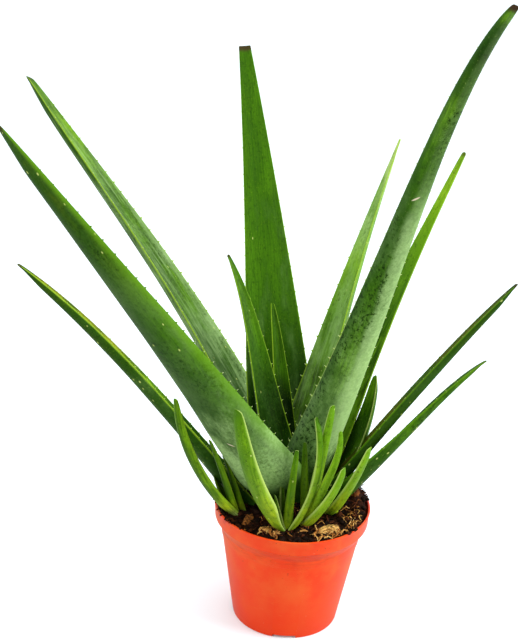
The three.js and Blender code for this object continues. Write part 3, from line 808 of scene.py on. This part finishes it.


# Each leaf's paints from root to tip, its deep paint, its edge paint and its markings. The darkest stops at
# the root are painted shade in the crown.
LEAF_LOOKS = {
    "leaf_heart": (
        {0.45: "shade and mottle dark", 0.65: "leaf"}, "shade and mottle dark", "lime",
        dict(mottle=0.1, flecks=0.001, clouds=0.5),
    ),
    "leaf_inner_left": (
        {0.4: "shade and mottle dark", 0.6: "leaf", 0.8: "grass", 1: "leaf"}, "bottle", "lime",
        dict(bloom=0.1, mottle=0.6, flecks=0.002, dry_tip=0.8, clouds=0.5),
    ),
    "leaf_back_right": (
        {0.32: "shade and mottle dark", 0.5: "leaf", 0.64: "spring", 0.8: "sage", 1: "pale"}, "grass", "lime",
        dict(wax="sage", bloom=0.45, mottle=0.5, flecks=0.012, streaks=0.2, clouds=0.7),
    ),
    "leaf_short_right": (
        {0: "shade and mottle dark", 0.35: "leaf", 1: "grass"}, "bottle", "pale",
        dict(flecks=0.001),
    ),
    "leaf_back_tall": (
        {0.22: "shade and mottle dark", 0.42: "leaf"}, "bottle", "lime",
        dict(flecks=0.0004, edge_width=0.025, dry_tip=0.9, clouds=0.45, channel=0.2),
    ),
    "leaf_right_upper": (
        {0.3: "shade and mottle dark", 0.5: "bottle", 0.68: "leaf", 0.82: "spring", 1: "lime"}, "grass", "lime",
        dict(bloom=0.03, flecks=0.003, dry_tip=0.6),
    ),
    "leaf_front_right": (
        {0.06: "shade and mottle dark", 0.13: "wax", 0.18: "wax", 0.3: "grass", 0.42: "leaf", 0.7: "leaf", 0.8: "grass",
         0.9: "shade and mottle dark", 0.955: "bottle", 0.97: "grass"}, "bottle", "pale",
        dict(wax="sage", bloom=0.15, mottle=1.6, flecks=0.0003, edge_width=0.03, painted_light_side=-1.6,
             painted_light_shift=0.35, dry_tip=1.0, clouds=0.75, root_bloom=0.45, mark=(0.0002, 0.3048, 0.04),
             mark_turn=0.58),
    ),
    "leaf_back_left": (
        {0.2: "bottle", 0.34: "leaf", 0.5: "grass", 0.72: "grass", 0.88: "spring", 1: "leaf"},
        "bottle", "lime",
        dict(wax="sage", bloom=0.45, mottle=0.5, flecks=0.012, streaks=0.4, underside_shade=0.6, dry_tip=0.4,
             clouds=0.8, painted_light_side=0.6, painted_light_shift=-0.2),
    ),
    "leaf_right_middle": (
        {0: "shade and mottle dark", 0.4: "bronze", 0.9: "bronze", 1: "husk"}, "bottle", "grass",
        dict(bloom=0.05, flecks=0.07, underside_shade=0.9, dry_tip=0.8),
    ),
    "leaf_low_left": (
        {0: "shade and mottle dark", 0.35: "bottle", 0.5: "spring", 0.65: "straw", 0.95: "straw", 1: "olive"},
        "bottle", "lime",
        dict(bloom=0.08, flecks=0.05, underside_shade=0.95, dry_tip=0.7),
    ),
    "leaf_right_low": (
        {0: "bottle", 0.5: "leaf", 0.9: "grass", 1: "husk"}, "bottle", "grass",
        dict(bloom=0.15, mottle=0.8, flecks=0.1, edge_width=0.12, dry_tip=0.6, channel=0.5),
    ),
    # Its wide pale margins and dark channel are painted light and shade across the rounded blade, over its
    # real pale margin
    "leaf_front_left": (
        {0.08: "shade and mottle dark", 0.15: "wax", 0.2: "wax", 0.28: "grass", 0.38: "leaf", 0.6: "leaf", 0.9: "olive"},
        "bottle", "grass",
        dict(wax="sage", bloom=0.1, mottle=0.7, flecks=0.006, edge_width=0.3, painted_light_side=-0.45,
             painted_light_shift=-0.2, channel=0.85, dry_tip=0.8, root_bloom=0.95, mark=(-0.0006, 0.1094, 0.04),
             mark_turn=-0.75),
    ),
}
# Each shoot's paints from root to tip, its deep paint, its edge paint, and the painted shade that darkens
# each of its leaves.
SHOOT_LOOKS = {
    "shoot_front": (
        {0.25: "new growth", 0.45: "lime", 0.8: "spring", 1: "leaf"}, "leaf", "pale", (0, 0.45, 0, 0, 0.7),
    ),
    "shoot_middle": (
        {0.2: "new growth", 0.4: "lime", 0.8: "spring", 1: "grass"}, "grass", "pale", (0, 0.05, 0.05, 0.6),
    ),
    "shoot_right": ({0.25: "new growth", 0.5: "lime", 1: "spring"}, "grass", "pale", (0, 0.2)),
    "shoot_left": ({0: "pale", 0.1: "new growth", 0.25: "spring"}, "bottle", "lime", (0, 0.1, 0.3, 0.6)),
}
SHOOT_MARKINGS = dict(flecks=0.006, edge_width=0.2, channel=0.6, clouds=0.6)
# Seeds of the teeth, of the shoots' blades and of each leaf's and shoot's skin
TEETH_SEED = 40
SHOOT_SEEDS = (20, 6)
LEAF_SKIN_SEED = 0.37
SHOOT_SKIN_SEED = 7
# A shoot's stalk: its radii at the foot and the top, its length and the height of its middle
STALK_RADII = (3, 5)
STALK_LENGTH = 25
STALK_MIDDLE = 80.5


def grow_stalk(middle):
    """The short stalk that holds a shoot's leaves together in the soil."""
    deselect()
    low, high = (radius * MM for radius in STALK_RADII)
    place = [v * MM for v in (*middle, STALK_MIDDLE)]
    bpy.ops.mesh.primitive_cone_add(
        vertices=24, radius1=low, radius2=high, depth=STALK_LENGTH * MM, location=place,
    )
    stalk = bpy.context.object
    bpy.ops.object.transform_apply(location=True, rotation=True, scale=True)
    bpy.ops.object.shade_smooth()
    for word in ("along", "side", "spine", "painted_shade"):
        note(stalk.data, word, np.zeros(len(stalk.data.vertices)))
    note(stalk.data, "place", read_points(stalk.data))
    return stalk


def grow_leaves():
    """The twelve main leaves and the four shoots, each in its own finish."""
    skin = make_leaf_skin()
    tooth = make_tooth()
    for count, (name, values) in enumerate(LEAVES.items()):
        leaf = dict(zip(LEAF_WORDS, values), **ODD_LEAVES.get(name, {}))
        blade = make_blade(name + "_skin", leaf, CROWN, count)
        blade = add_teeth(blade, leaf, CROWN, tooth, TEETH_SEED + count)
        tones, deep, edge, amounts = LEAF_LOOKS[name]
        seed = LEAF_SKIN_SEED * count
        material = leaf_material(name + "_green", skin, tones, deep, edge, seed=seed, **amounts)
        settle(blade, [name], material)
    for count, (name, (middle, values)) in enumerate(SHOOTS.items()):
        tones, deep, edge, painted_shades = SHOOT_LOOKS[name]
        blades = []
        for number, row in enumerate(values):
            leaf = dict(zip(LEAF_WORDS, row), **ODD_LEAVES.get(f"{name} {number}", {}))
            seed = SHOOT_SEEDS[0] + SHOOT_SEEDS[1] * count + number
            blade = make_blade(f"{name}_blade_{number}", leaf, middle, seed)
            note(blade.data, "painted_shade", np.full(len(blade.data.vertices), painted_shades[number]))
            blades.append(blade)
        shoot = join_pieces(blades[0], blades[1:] + [grow_stalk(middle)])
        shoot.name = shoot.data.name = name + "_skin"
        seed = SHOOT_SKIN_SEED + count
        material = leaf_material(name + "_green", skin, tones, deep, edge, seed=seed, **SHOOT_MARKINGS)
        settle(shoot, [name], material)


# The pot. Heights of its marks, in metres: soil dirt and painted shade under the lip, painted shade round the
# step, spots, and paler clouds higher up
LIP_DIRT_AND_SHADE = (0.09, 0.0965)
STEP_SHADE_BELOW = (0.068, 0.077)
STEP_SHADE_ABOVE = (0.085, 0.078)
SPOTTED = (0.03, 0.075)
PALER_HIGHER_UP = (0.0, 0.07)


def plastic_material():
    """Moulded orange plastic: cloudy and scuffed, with dark spots, soil dirt and painted shade under the lip,
    and painted shade round the step.
    """
    material, tree, shader = new_material("pot_orange", 0.42, 0.15)
    shader.inputs["Coat Weight"].default_value = 0.2
    shader.inputs["Coat Roughness"].default_value = 0.3
    place = put(tree, "TexCoord").outputs["Object"]
    height = put(tree, "SeparateXYZ", {0: place}).outputs["Z"]

    def grains(turns, *settings):
        return grain(tree, stretched(tree, place, (1.0, 1.0, turns)), *settings)

    def mask(value, low, high, start=0.0, end=1.0):
        return between(tree, value, low, high, start, end)

    cloud = grain(tree, place, 34.0, 5.0, 0.6)
    # Soil dirt and painted shade just under the lip
    lip_grain = grain(tree, place, 170.0, 6.0, 0.72)
    lip_patches = mask(grain(tree, place, 28.0, 2.0), 0.52, 0.62)
    lip_dirt_and_shade = times(tree, mask(height, *LIP_DIRT_AND_SHADE), mask(lip_grain, 0.44, 0.6), lip_patches)
    # Painted shade round the step
    step_shade_grain = mask(grains(5.0, 60.0, 6.0, 0.7), 0.42, 0.62)
    step_shade = times(tree, mask(height, *STEP_SHADE_BELOW), mask(height, *STEP_SHADE_ABOVE), step_shade_grain)
    spots = mask(grain(tree, place, 420.0, 2.0, 0.5), 0.72, 0.77, 0.0, 0.8)
    spots = times(tree, spots, mask(height, *SPOTTED))
    tone = lay_coats(tree, linear("orange"), [
        (times(tree, mask(cloud, 0.34, 0.72), mask(height, *PALER_HIGHER_UP, 0.1, 0.6)), "orange pale"),
        (mask(grains(3.0, 120.0, 6.0, 0.7), 0.6, 0.75, 0.0, 0.6), "orange pale"),
        (mask(grains(0.35, 700.0, 5.0, 0.7), 0.66, 0.74, 0.0, 0.3), "cream"),
        # Painted shade round the step
        (times(tree, step_shade, 0.3), "orange deep"),
        # Soil dirt and painted shade under the lip, and the real spots
        (sums(tree, "MAXIMUM", times(tree, lip_dirt_and_shade, 0.7), spots), "stain and shade"),
    ])
    tree.links.new(mask(cloud, 0.3, 0.8, 0.34, 0.52), shader.inputs["Roughness"])
    dress(tree, shader, tone, grain(tree, place, 500.0, 3.0), 0.12, 0.0004)
    return material


def wall_outline():
    """The wall's outline from the middle of the foot, up its outside, over the lip and down its inside."""
    seam = STEP_FOOT - SEAM_DROP
    seam_radius = FOOT_RADIUS + (STEP_RADIUS - FOOT_RADIUS) * seam / STEP_FOOT
    return [
        # The foot: a boss in the middle, a hollow and the ring that it stands on
        (0, 0), (14, 0), (14.6, 2.5), (35.4, 2.5), (36, 0.3), (36.3, 0),
        (FOOT_RADIUS - 0.7, 0), (FOOT_RADIUS - 0.2, 0.25), (FOOT_RADIUS, 0.8),
        # The wall, the mould's seam and the step
        (seam_radius, seam), (seam_radius + 0.35, seam + 0.25), (seam_radius + 0.5, seam + 0.7),
        (STEP_RADIUS - 0.1, STEP_FOOT - 0.7), (STEP_RADIUS + 0.15, STEP_FOOT + 0.4),
        # The rim band and its thin lip
        (58.1, 84.6), (58.7, 85.1), (59, 85.9), (59.55, 95.2), (59.75, 95.6), (59.95, 95.9),
        (RIM_RADIUS, 96.3), (59.9, 96.8), (59.6, POT_HEIGHT), (58.9, POT_HEIGHT), (58.5, 96.8),
        # Down the inside to the floor
        (57.4, 86.1), (56.8, 85.4),
        (STEP_RADIUS - WALL, STEP_FOOT + 0.6), (FOOT_RADIUS - WALL, FLOOR_TOP + 0.6),
        (FOOT_RADIUS - WALL - 0.8, FLOOR_TOP), (0, FLOOR_TOP),
    ]


def make_cutters():
    """One piece that cuts the foot's slots and the drain holes."""
    cutters = []
    for slot in range(FOOT_SLOTS):
        turn = slot / FOOT_SLOTS * FULL_TURN
        deselect()
        bpy.ops.mesh.primitive_cube_add(
            size=1, location=(FOOT_RADIUS * MM * math.sin(turn), -FOOT_RADIUS * MM * math.cos(turn), 0),
            rotation=(0, 0, turn), scale=[v * MM for v in FOOT_SLOT_SIZE],
        )
        cutters.append(bpy.context.object)
    for hole in range(DRAIN_HOLES):
        turn = hole / DRAIN_HOLES * FULL_TURN
        place = (DRAIN_CIRCLE * math.cos(turn), DRAIN_CIRCLE * math.sin(turn), DRAIN_CUT_MIDDLE)
        deselect()
        bpy.ops.mesh.primitive_cylinder_add(
            vertices=24, radius=DRAIN_RADIUS * MM, depth=DRAIN_CUT * MM, location=[v * MM for v in place],
        )
        cutters.append(bpy.context.object)
    return join_pieces(cutters[0], cutters[1:])


def make_pot():
    """The pot: its wall's outline is spun round the axis, then the foot is slotted and drilled."""
    outline = [(radius, 0, height) for radius, height in wall_outline()]
    pot = new_piece("pot_wall", outline, [], [(i, i + 1) for i in range(len(outline) - 1)])
    with editing(pot):
        bpy.ops.mesh.spin(steps=POT_STEPS, angle=FULL_TURN, center=(0, 0, 0), axis=(0, 0, 1))
        bpy.ops.mesh.select_all(action="SELECT")
        bpy.ops.mesh.remove_doubles(threshold=POT_MERGE)
        bpy.ops.mesh.normals_make_consistent(inside=False)
    cutter = make_cutters()
    pick(pot)
    cut = pot.modifiers.new("foot slots and drain holes", "BOOLEAN")
    cut.object = cutter
    cut.operation = "DIFFERENCE"
    cut.solver = "EXACT"
    bpy.ops.object.modifier_apply(modifier=cut.name)
    bpy.data.objects.remove(cutter)
    pick(pot)
    bpy.ops.object.shade_smooth_by_angle(angle=math.radians(POT_CREASE))
    settle(pot, ["pot"], plastic_material())


# The soil
SOIL_TONES = [(0.36, (0.002, 0.0008, 0.0005, 1)), (0.72, (0.05, 0.014, 0.005, 1))]


def soil_height(x, y):
    """Height of the soil's top over the floor, in millimetres."""
    heaps = sum(high * math.exp(-((x - a) ** 2 + (y - b) ** 2) / spread) for a, b, high, spread in HEAPS)
    swell = 0.7 * math.sin(x * 0.31 + 1) * math.cos(y * 0.27) + 0.5 * math.sin(x * 0.17 - y * 0.41)
    inward = float(smooth((1 - math.hypot(x, y) / SOIL_RADIUS) / RIM_LIFT_REACH))
    return SOIL_LEVEL + (heaps + swell) * (RIM_LIFT_SHARE + (1 - RIM_LIFT_SHARE) * inward)


def rough_soil(x, y):
    """The soil's height with its fine roughness."""
    rough = noise.fractal(Vector((x * ROUGHNESS_TURNS, y * ROUGHNESS_TURNS, 3)), 0.9, 2.1, 4)
    return soil_height(x, y) + SOIL_ROUGHNESS * rough


def soil_material():
    material, tree, shader = new_material("soil_dark", 0.9, 0.08)
    lumps = grain(tree, put(tree, "TexCoord").outputs["Object"], 420.0, 7.0, 0.7)
    tree.links.new(between(tree, lumps, 0.3, 0.7, 0.7, 0.98), shader.inputs["Roughness"])
    dress(tree, shader, paint_ramp(tree, lumps, SOIL_TONES), lumps, 0.9, 0.0015)
    return material


def make_soil():
    """The soil: its outline down in the pot, closed by rings that follow its rough top to the middle."""
    last = len(SOIL_OUTLINE) - 1
    piece, column, row = rolled_grid("soil_heap", SOIL_COLUMNS, last + SOIL_RINGS)
    places = []
    for c, r in zip(column, row):
        turn = c / SOIL_COLUMNS * FULL_TURN
        radius, z = SOIL_OUTLINE[min(r, last)]
        if r > last:
            radius = SOIL_RADIUS * (1 - (r - last) / SOIL_RINGS)
        x, y = radius * math.cos(turn), radius * math.sin(turn)
        places.append((x, y, rough_soil(x, y) if r > last else z))
    write_points(piece.data, np.array(places) * MM)
    close_skin(piece, cap=False)
    settle(piece, ["soil"], soil_material())


# Loose bits on the soil: a bit is its points, its faces and its tint, and the tint picks its paint.
BIT_STOPS = [
    (0.0, (0.003, 0.0013, 0.0008, 1)),
    (0.5, (0.016, 0.006, 0.003, 1)),
    (0.78, (0.13, 0.032, 0.009, 1)),
    (0.92, (0.6, 0.23, 0.045, 1)),
    (1.0, (1.0, 0.62, 0.2, 1)),
]
BIT_SHADE = (0.012, 0.005, 0.002, 1)
ANY_TURN = (0, 6.28)
# Crumbs: their seed and number, how far out they lie, the share of big ones, and both kinds' lumps and sizes
CRUMB_SEED = 11
CRUMBS = 1500
CRUMB_FIELD = 57
CRUMB_REACH = 56.3
BIG_CRUMBS = 0.32
BIG_LUMPS = 4
ALL_LUMPS = 7
BIG_SIZES = (1.3, 3.0)
SMALL_SIZES = (0.5, 1.3)
LUMP_UNEVENNESS = 0.55
# Where soil has spilled onto the lip: from and to which heading, and how many crumbs.
SPILLS = [(171, 233, 110), (-47, -36, 40), (8, 46, 110)]
SPILL_RADII = (55, 60.4)
SPILL_SIZES = (0.5, 1.5)
LIP_START = 57
# Groups of shreds: how many, their middle, spread, length and half width, and the lowest tint.
# The group with no middle lies all over the soil.
SHREDS = [
    (44, (27, -40), (9, 5), (5, 13), (0.35, 0.9), 0.84),
    (16, (-17, -44), (5, 2.5), (4, 9), (0.4, 0.9), 0.84),
    (70, None, None, (4, 12), (0.25, 0.6), 0.4),
    (44, (46, -12), (4.5, 12), (3, 9), (0.25, 0.6), 0.6),
]
SHRED_SEED = 5
SHRED_REACH = 54
SHRED_END_REACH = 57
SHRED_STEPS = 8
SHRED_SIDES = 6
SHRED_FLATNESS = 0.45
SHRED_LIFT = 0.9
SHRED_ARCH = 1.6
SHRED_FIELD = 55
# Root hairs: their seed and number, the middle and spread of their feet, their reach and their form
HAIR_SEED = 9
ROOT_HAIRS = 44
HAIR_FEET = ((50, 3), (15, 7))
HAIR_REACH = 55
HAIR_STEPS = 5
HAIR_LENGTHS = (4, 9)
HAIR_SIDES = 5
HAIR_HALF = (0.16, 0.13)
HAIR_CURL = 0.6
HAIR_LIFT = 1.5
HAIR_DROOP = 0.8
# Each chip's middle, half its size, its turn and tip in degrees, and its tint.
CHIPS = {
    "bark_chip_front": ((-16, -41), (9, 4, 1.6), 10, 8, 0.95),
    "bark_chip_left": ((-33, -27), (3.5, 9, 1.8), -15, 12, 0.84),
    "bark_chip_right": ((27, -36), (10, 5, 2), 28, -6, 0.97),
    "bark_chip_back": ((14, 46), (8, 4.5, 1.8), -30, 5, 0.88),
    "bark_chip_side": ((46, 8), (5, 7.5, 1.8), 20, -8, 0.8),
}
# How uneven a chip is: its outline, its layers, its top, and how much it narrows upwards and at its edge
CHIP_LOBES = 0.2
CHIP_LAYERS = 0.12
CHIP_TOP = 0.4
CHIP_TAPER = 0.07
CHIP_ROUNDING = 0.3
CHIP_SINK = 0.35
CHIP_CREASE = 40


def tinted_material(name, scale):
    """Finish of loose bits: each bit's tint picks its paint, and fine grain darkens it in places."""
    material, tree, shader = new_material(name, 0.88, 0.1)
    lumps = grain(tree, put(tree, "TexCoord").outputs["Object"], scale, 5.0, 0.7)
    tone = paint_ramp(tree, attribute(tree, "tint"), BIT_STOPS)
    tone = blend_paint(tree, between(tree, lumps, 0.44, 0.62, 0.0, 0.9), tone, BIT_SHADE)
    dress(tree, shader, tone, lumps, 0.7, 0.0006)
    return material


def gather(name, bits, material):
    """One piece out of many bits."""
    points, faces, tints = [], [], []
    total = 0
    for shape, sides, tint in bits:
        points.append(shape)
        faces += [[v + total for v in side] for side in sides]
        tints.append(np.full(len(shape), tint))
        total += len(shape)
    piece = new_piece(name, np.concatenate(points), faces)
    note(piece.data, "tint", np.concatenate(tints))
    face_outwards(piece)
    settle(piece, [], material)


def make_lump(seed, rounds):
    """One crumb: a small ball pushed out of round. Returned as points of about unit size and faces."""
    deselect()
    bpy.ops.mesh.primitive_ico_sphere_add(subdivisions=rounds, radius=1)
    lump = bpy.context.object
    places = read_points(lump.data).astype(float)
    faces = [list(face.vertices) for face in lump.data.polygons]
    bpy.data.objects.remove(lump)
    for i, spot in enumerate(places):
        push = noise.noise(Vector(spot) * 1.6 + Vector((seed * 7.3, 1, 2)))
        places[i] = spot * (1 + LUMP_UNEVENNESS * push)
    return places, faces


def spill_spot(rng, start, end):
    """A place on the lip, or just inside it, and a crumb's size there."""
    turn = math.radians(rng.uniform(start, end))
    radius, size = rng.uniform(*SPILL_RADII), rng.uniform(*SPILL_SIZES)
    x, y = radius * math.cos(turn), radius * math.sin(turn)
    z = POT_HEIGHT + size * rng.uniform(-0.2, 0.4) if radius > LIP_START else rough_soil(x, y) + size
    return np.array([x, y, z]), size


def strew_crumbs():
    """Crumbs of soil, big and small over the soil's top, and small ones spilled onto the lip."""
    rng = random.Random(CRUMB_SEED)
    lumps = [make_lump(k, 2 if k < BIG_LUMPS else 1) for k in range(ALL_LUMPS)]
    bits = []

    def drop(lump, middle, size, turn, tint):
        places, faces = lumps[lump]
        bits.append(((places * size) @ np.array(turn).T + middle, faces, tint))

    while len(bits) < CRUMBS:
        x, y = rng.uniform(-CRUMB_FIELD, CRUMB_FIELD), rng.uniform(-CRUMB_FIELD, CRUMB_FIELD)
        if math.hypot(x, y) > CRUMB_REACH:
            continue
        big = rng.random() < BIG_CRUMBS
        size = rng.uniform(*(BIG_SIZES if big else SMALL_SIZES))
        lump = rng.randrange(BIG_LUMPS) if big else rng.randrange(BIG_LUMPS, ALL_LUMPS)
        flat = np.array([1, rng.uniform(0.5, 1), rng.uniform(0.3, 0.8)]) * size
        spin, tip = rng.uniform(*ANY_TURN), rng.uniform(-0.6, 0.6)
        turn = Matrix.Rotation(spin, 3, "Z") @ Matrix.Rotation(tip, 3, "X")
        tint = rng.random() ** 1.5 * (1.0 if rng.random() < 0.15 else 0.72)
        z = rough_soil(x, y) + size * rng.uniform(0.0, 0.5)
        drop(lump, np.array([x, y, z]), flat, turn, tint)
    for start, end, count in SPILLS:
        for _ in range(count):
            middle, size = spill_spot(rng, start, end)
            flat = np.array([1, rng.uniform(0.5, 1), rng.uniform(0.4, 0.9)]) * size
            turn = Matrix.Rotation(rng.uniform(*ANY_TURN), 3, "Z")
            drop(rng.randrange(BIG_LUMPS, ALL_LUMPS), middle, flat, turn, 0.75 * rng.random())
    gather("soil_crumbs", bits, tinted_material("crumb_browns", 900.0))


def strip_points(spine, wide, thick, sides):
    """A closed strip or root along the points of spine, thinner at both ends: points and faces."""
    spine = np.asarray(spine, float)
    count = len(spine)
    ways = np.gradient(spine, axis=0)
    ways /= np.linalg.norm(ways, axis=1)[:, None]
    points, faces = [], []
    for i, (spot, way) in enumerate(zip(spine, ways)):
        share = math.sin(math.pi * (0.12 + 0.76 * i / (count - 1))) ** 0.6
        flat = np.cross(way, (0.13, 0.07, 1))
        flat /= np.linalg.norm(flat)
        up = np.cross(flat, way)
        for k in range(sides):
            angle = FULL_TURN * k / sides
            points.append(spot + flat * wide * share * math.cos(angle) + up * thick * share * math.sin(angle))
    for i in range(count - 1):
        for k in range(sides):
            a, b = i * sides + k, i * sides + (k + 1) % sides
            faces.append([a, b, b + sides, a + sides])
    faces.append(list(range(sides))[::-1])
    faces.append([(count - 1) * sides + k for k in range(sides)])
    return np.array(points), faces


def shred_spine(rng, x, y, turn, bend, length):
    """The curved middle of a shred, arched over the soil and kept inside the lip."""
    spine = []
    for i in range(SHRED_STEPS + 1):
        s = i / SHRED_STEPS - 0.5
        angle = turn + bend * s
        px, py = x + length * s * math.cos(angle), y + length * s * math.sin(angle)
        rise = SHRED_LIFT + SHRED_ARCH * math.cos(math.pi * s) * rng.uniform(0.6, 1)
        shrink = min(1, SHRED_END_REACH / math.hypot(px, py))
        px, py = px * shrink, py * shrink
        spine.append((px, py, rough_soil(px, py) + rise))
    return spine


def lay_shreds():
    """Shredded bark and fine fibres: curved strips on the soil, most of them beside the chips."""
    rng = random.Random(SHRED_SEED)
    bits = []
    for count, middle, spread, long, wide, low_tint in SHREDS:
        goal = len(bits) + count
        while len(bits) < goal:
            a, b = rng.gauss(0, 1), rng.gauss(0, 1)
            if middle:
                x, y = middle[0] + a * spread[0], middle[1] + b * spread[1]
            else:
                x, y = rng.uniform(-SHRED_FIELD, SHRED_FIELD), rng.uniform(-SHRED_FIELD, SHRED_FIELD)
            if math.hypot(x, y) > SHRED_REACH:
                continue
            turn, bend, length = rng.uniform(*ANY_TURN), rng.uniform(-1.6, 1.6), rng.uniform(*long)
            spine = shred_spine(rng, x, y, turn, bend, length)
            half = rng.uniform(*wide)
            shred = strip_points(spine, half, half * SHRED_FLATNESS, SHRED_SIDES)
            bits.append((*shred, rng.uniform(low_tint, 1.0)))
    gather("bark_shreds", bits, tinted_material("shred_browns", 1400.0))


def grow_root_hairs():
    """Fine dark root hairs that stand out of the heap at the back right and over the rim."""
    rng = random.Random(HAIR_SEED)
    bits = []
    for _ in range(ROOT_HAIRS):
        x, y = (rng.gauss(*foot) for foot in HAIR_FEET)
        if math.hypot(x, y) > HAIR_REACH:
            continue
        turn, rise = rng.uniform(-1.2, 1.2), rng.uniform(0.1, 1.1)
        length = rng.uniform(*HAIR_LENGTHS)
        spine = []
        for i in range(HAIR_STEPS + 1):
            s = i / HAIR_STEPS
            flat = length * s * math.cos(rise)
            spine.append((
                x + flat * math.cos(turn + s * HAIR_CURL), y + flat * math.sin(turn + s * HAIR_CURL),
                rough_soil(x, y) + HAIR_LIFT + length * s * math.sin(rise) - HAIR_DROOP * s * s,
            ))
        bits.append((*strip_points(spine, *HAIR_HALF, HAIR_SIDES), rng.uniform(0.1, 0.75)))
    gather("root_hairs", bits, tinted_material("root_browns", 1400.0))


def lay_chips():
    """Bark chips: a slab broken out of round, with layered sides."""
    for count, (name, ((x, y), half, turn, tip, tint)) in enumerate(CHIPS.items()):
        deselect()
        bpy.ops.mesh.primitive_cylinder_add(vertices=28, radius=1, depth=2, end_fill_type="TRIFAN")
        chip = bpy.context.object
        chip.name = chip.data.name = name + "_bark"
        with editing(chip):
            bpy.ops.mesh.subdivide(number_cuts=3)
        places = read_points(chip.data).astype(float)
        for i, (a, b, c) in enumerate(places):
            angle = math.atan2(b, a)
            around = Vector((2 * math.cos(angle), 2 * math.sin(angle), count * 5.1))
            lobe = 1 + CHIP_LOBES * noise.noise(around)
            layer = CHIP_LAYERS * noise.noise(Vector((a * 2, b * 2, c * 6 + count)))
            top = CHIP_TOP * noise.noise(Vector((a * 2.2, b * 2.2, count + 9)))
            places[i, :2] *= (lobe + layer) * (1 - CHIP_TAPER * (c + 1))
            places[i, 2] = c * (1 - CHIP_ROUNDING * math.hypot(a, b) ** 4) + top * (1 if c > 0 else 0.3)
        places *= np.array(half)
        spin = Matrix.Rotation(math.radians(turn), 3, "Z") @ Matrix.Rotation(math.radians(tip), 3, "Y")
        places = places @ np.array(spin).T + np.array([x, y, soil_height(x, y) + half[2] * CHIP_SINK])
        write_points(chip.data, places * MM)
        note(chip.data, "tint", np.full(len(places), tint))
        pick(chip)
        bpy.ops.object.shade_smooth_by_angle(angle=math.radians(CHIP_CREASE))
        settle(chip, [name], tinted_material(name + "_browns", 500.0))


def finish_stem():
    """The CAD stem stays: most of it is hidden in the crown."""
    material, tree, shader = new_material("stem_pale", 0.6)
    place = put(tree, "TexCoord").outputs["Object"]
    fibre = grain(tree, stretched(tree, place, (1, 1, 0.2)), 600.0, 4.0)
    tone = blend_paint(tree, between(tree, fibre, 0.35, 0.7), linear("pale"), linear("olive"))
    dress(tree, shader, tone, fibre, 0.4, 0.0005)
    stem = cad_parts["stem"]
    stem.data.materials.clear()
    stem.data.materials.append(material)


set_camera()
set_light()
lay_floor()
grow_leaves()
make_pot()
make_soil()
strew_crumbs()
lay_shreds()
grow_root_hairs()
lay_chips()
finish_stem()
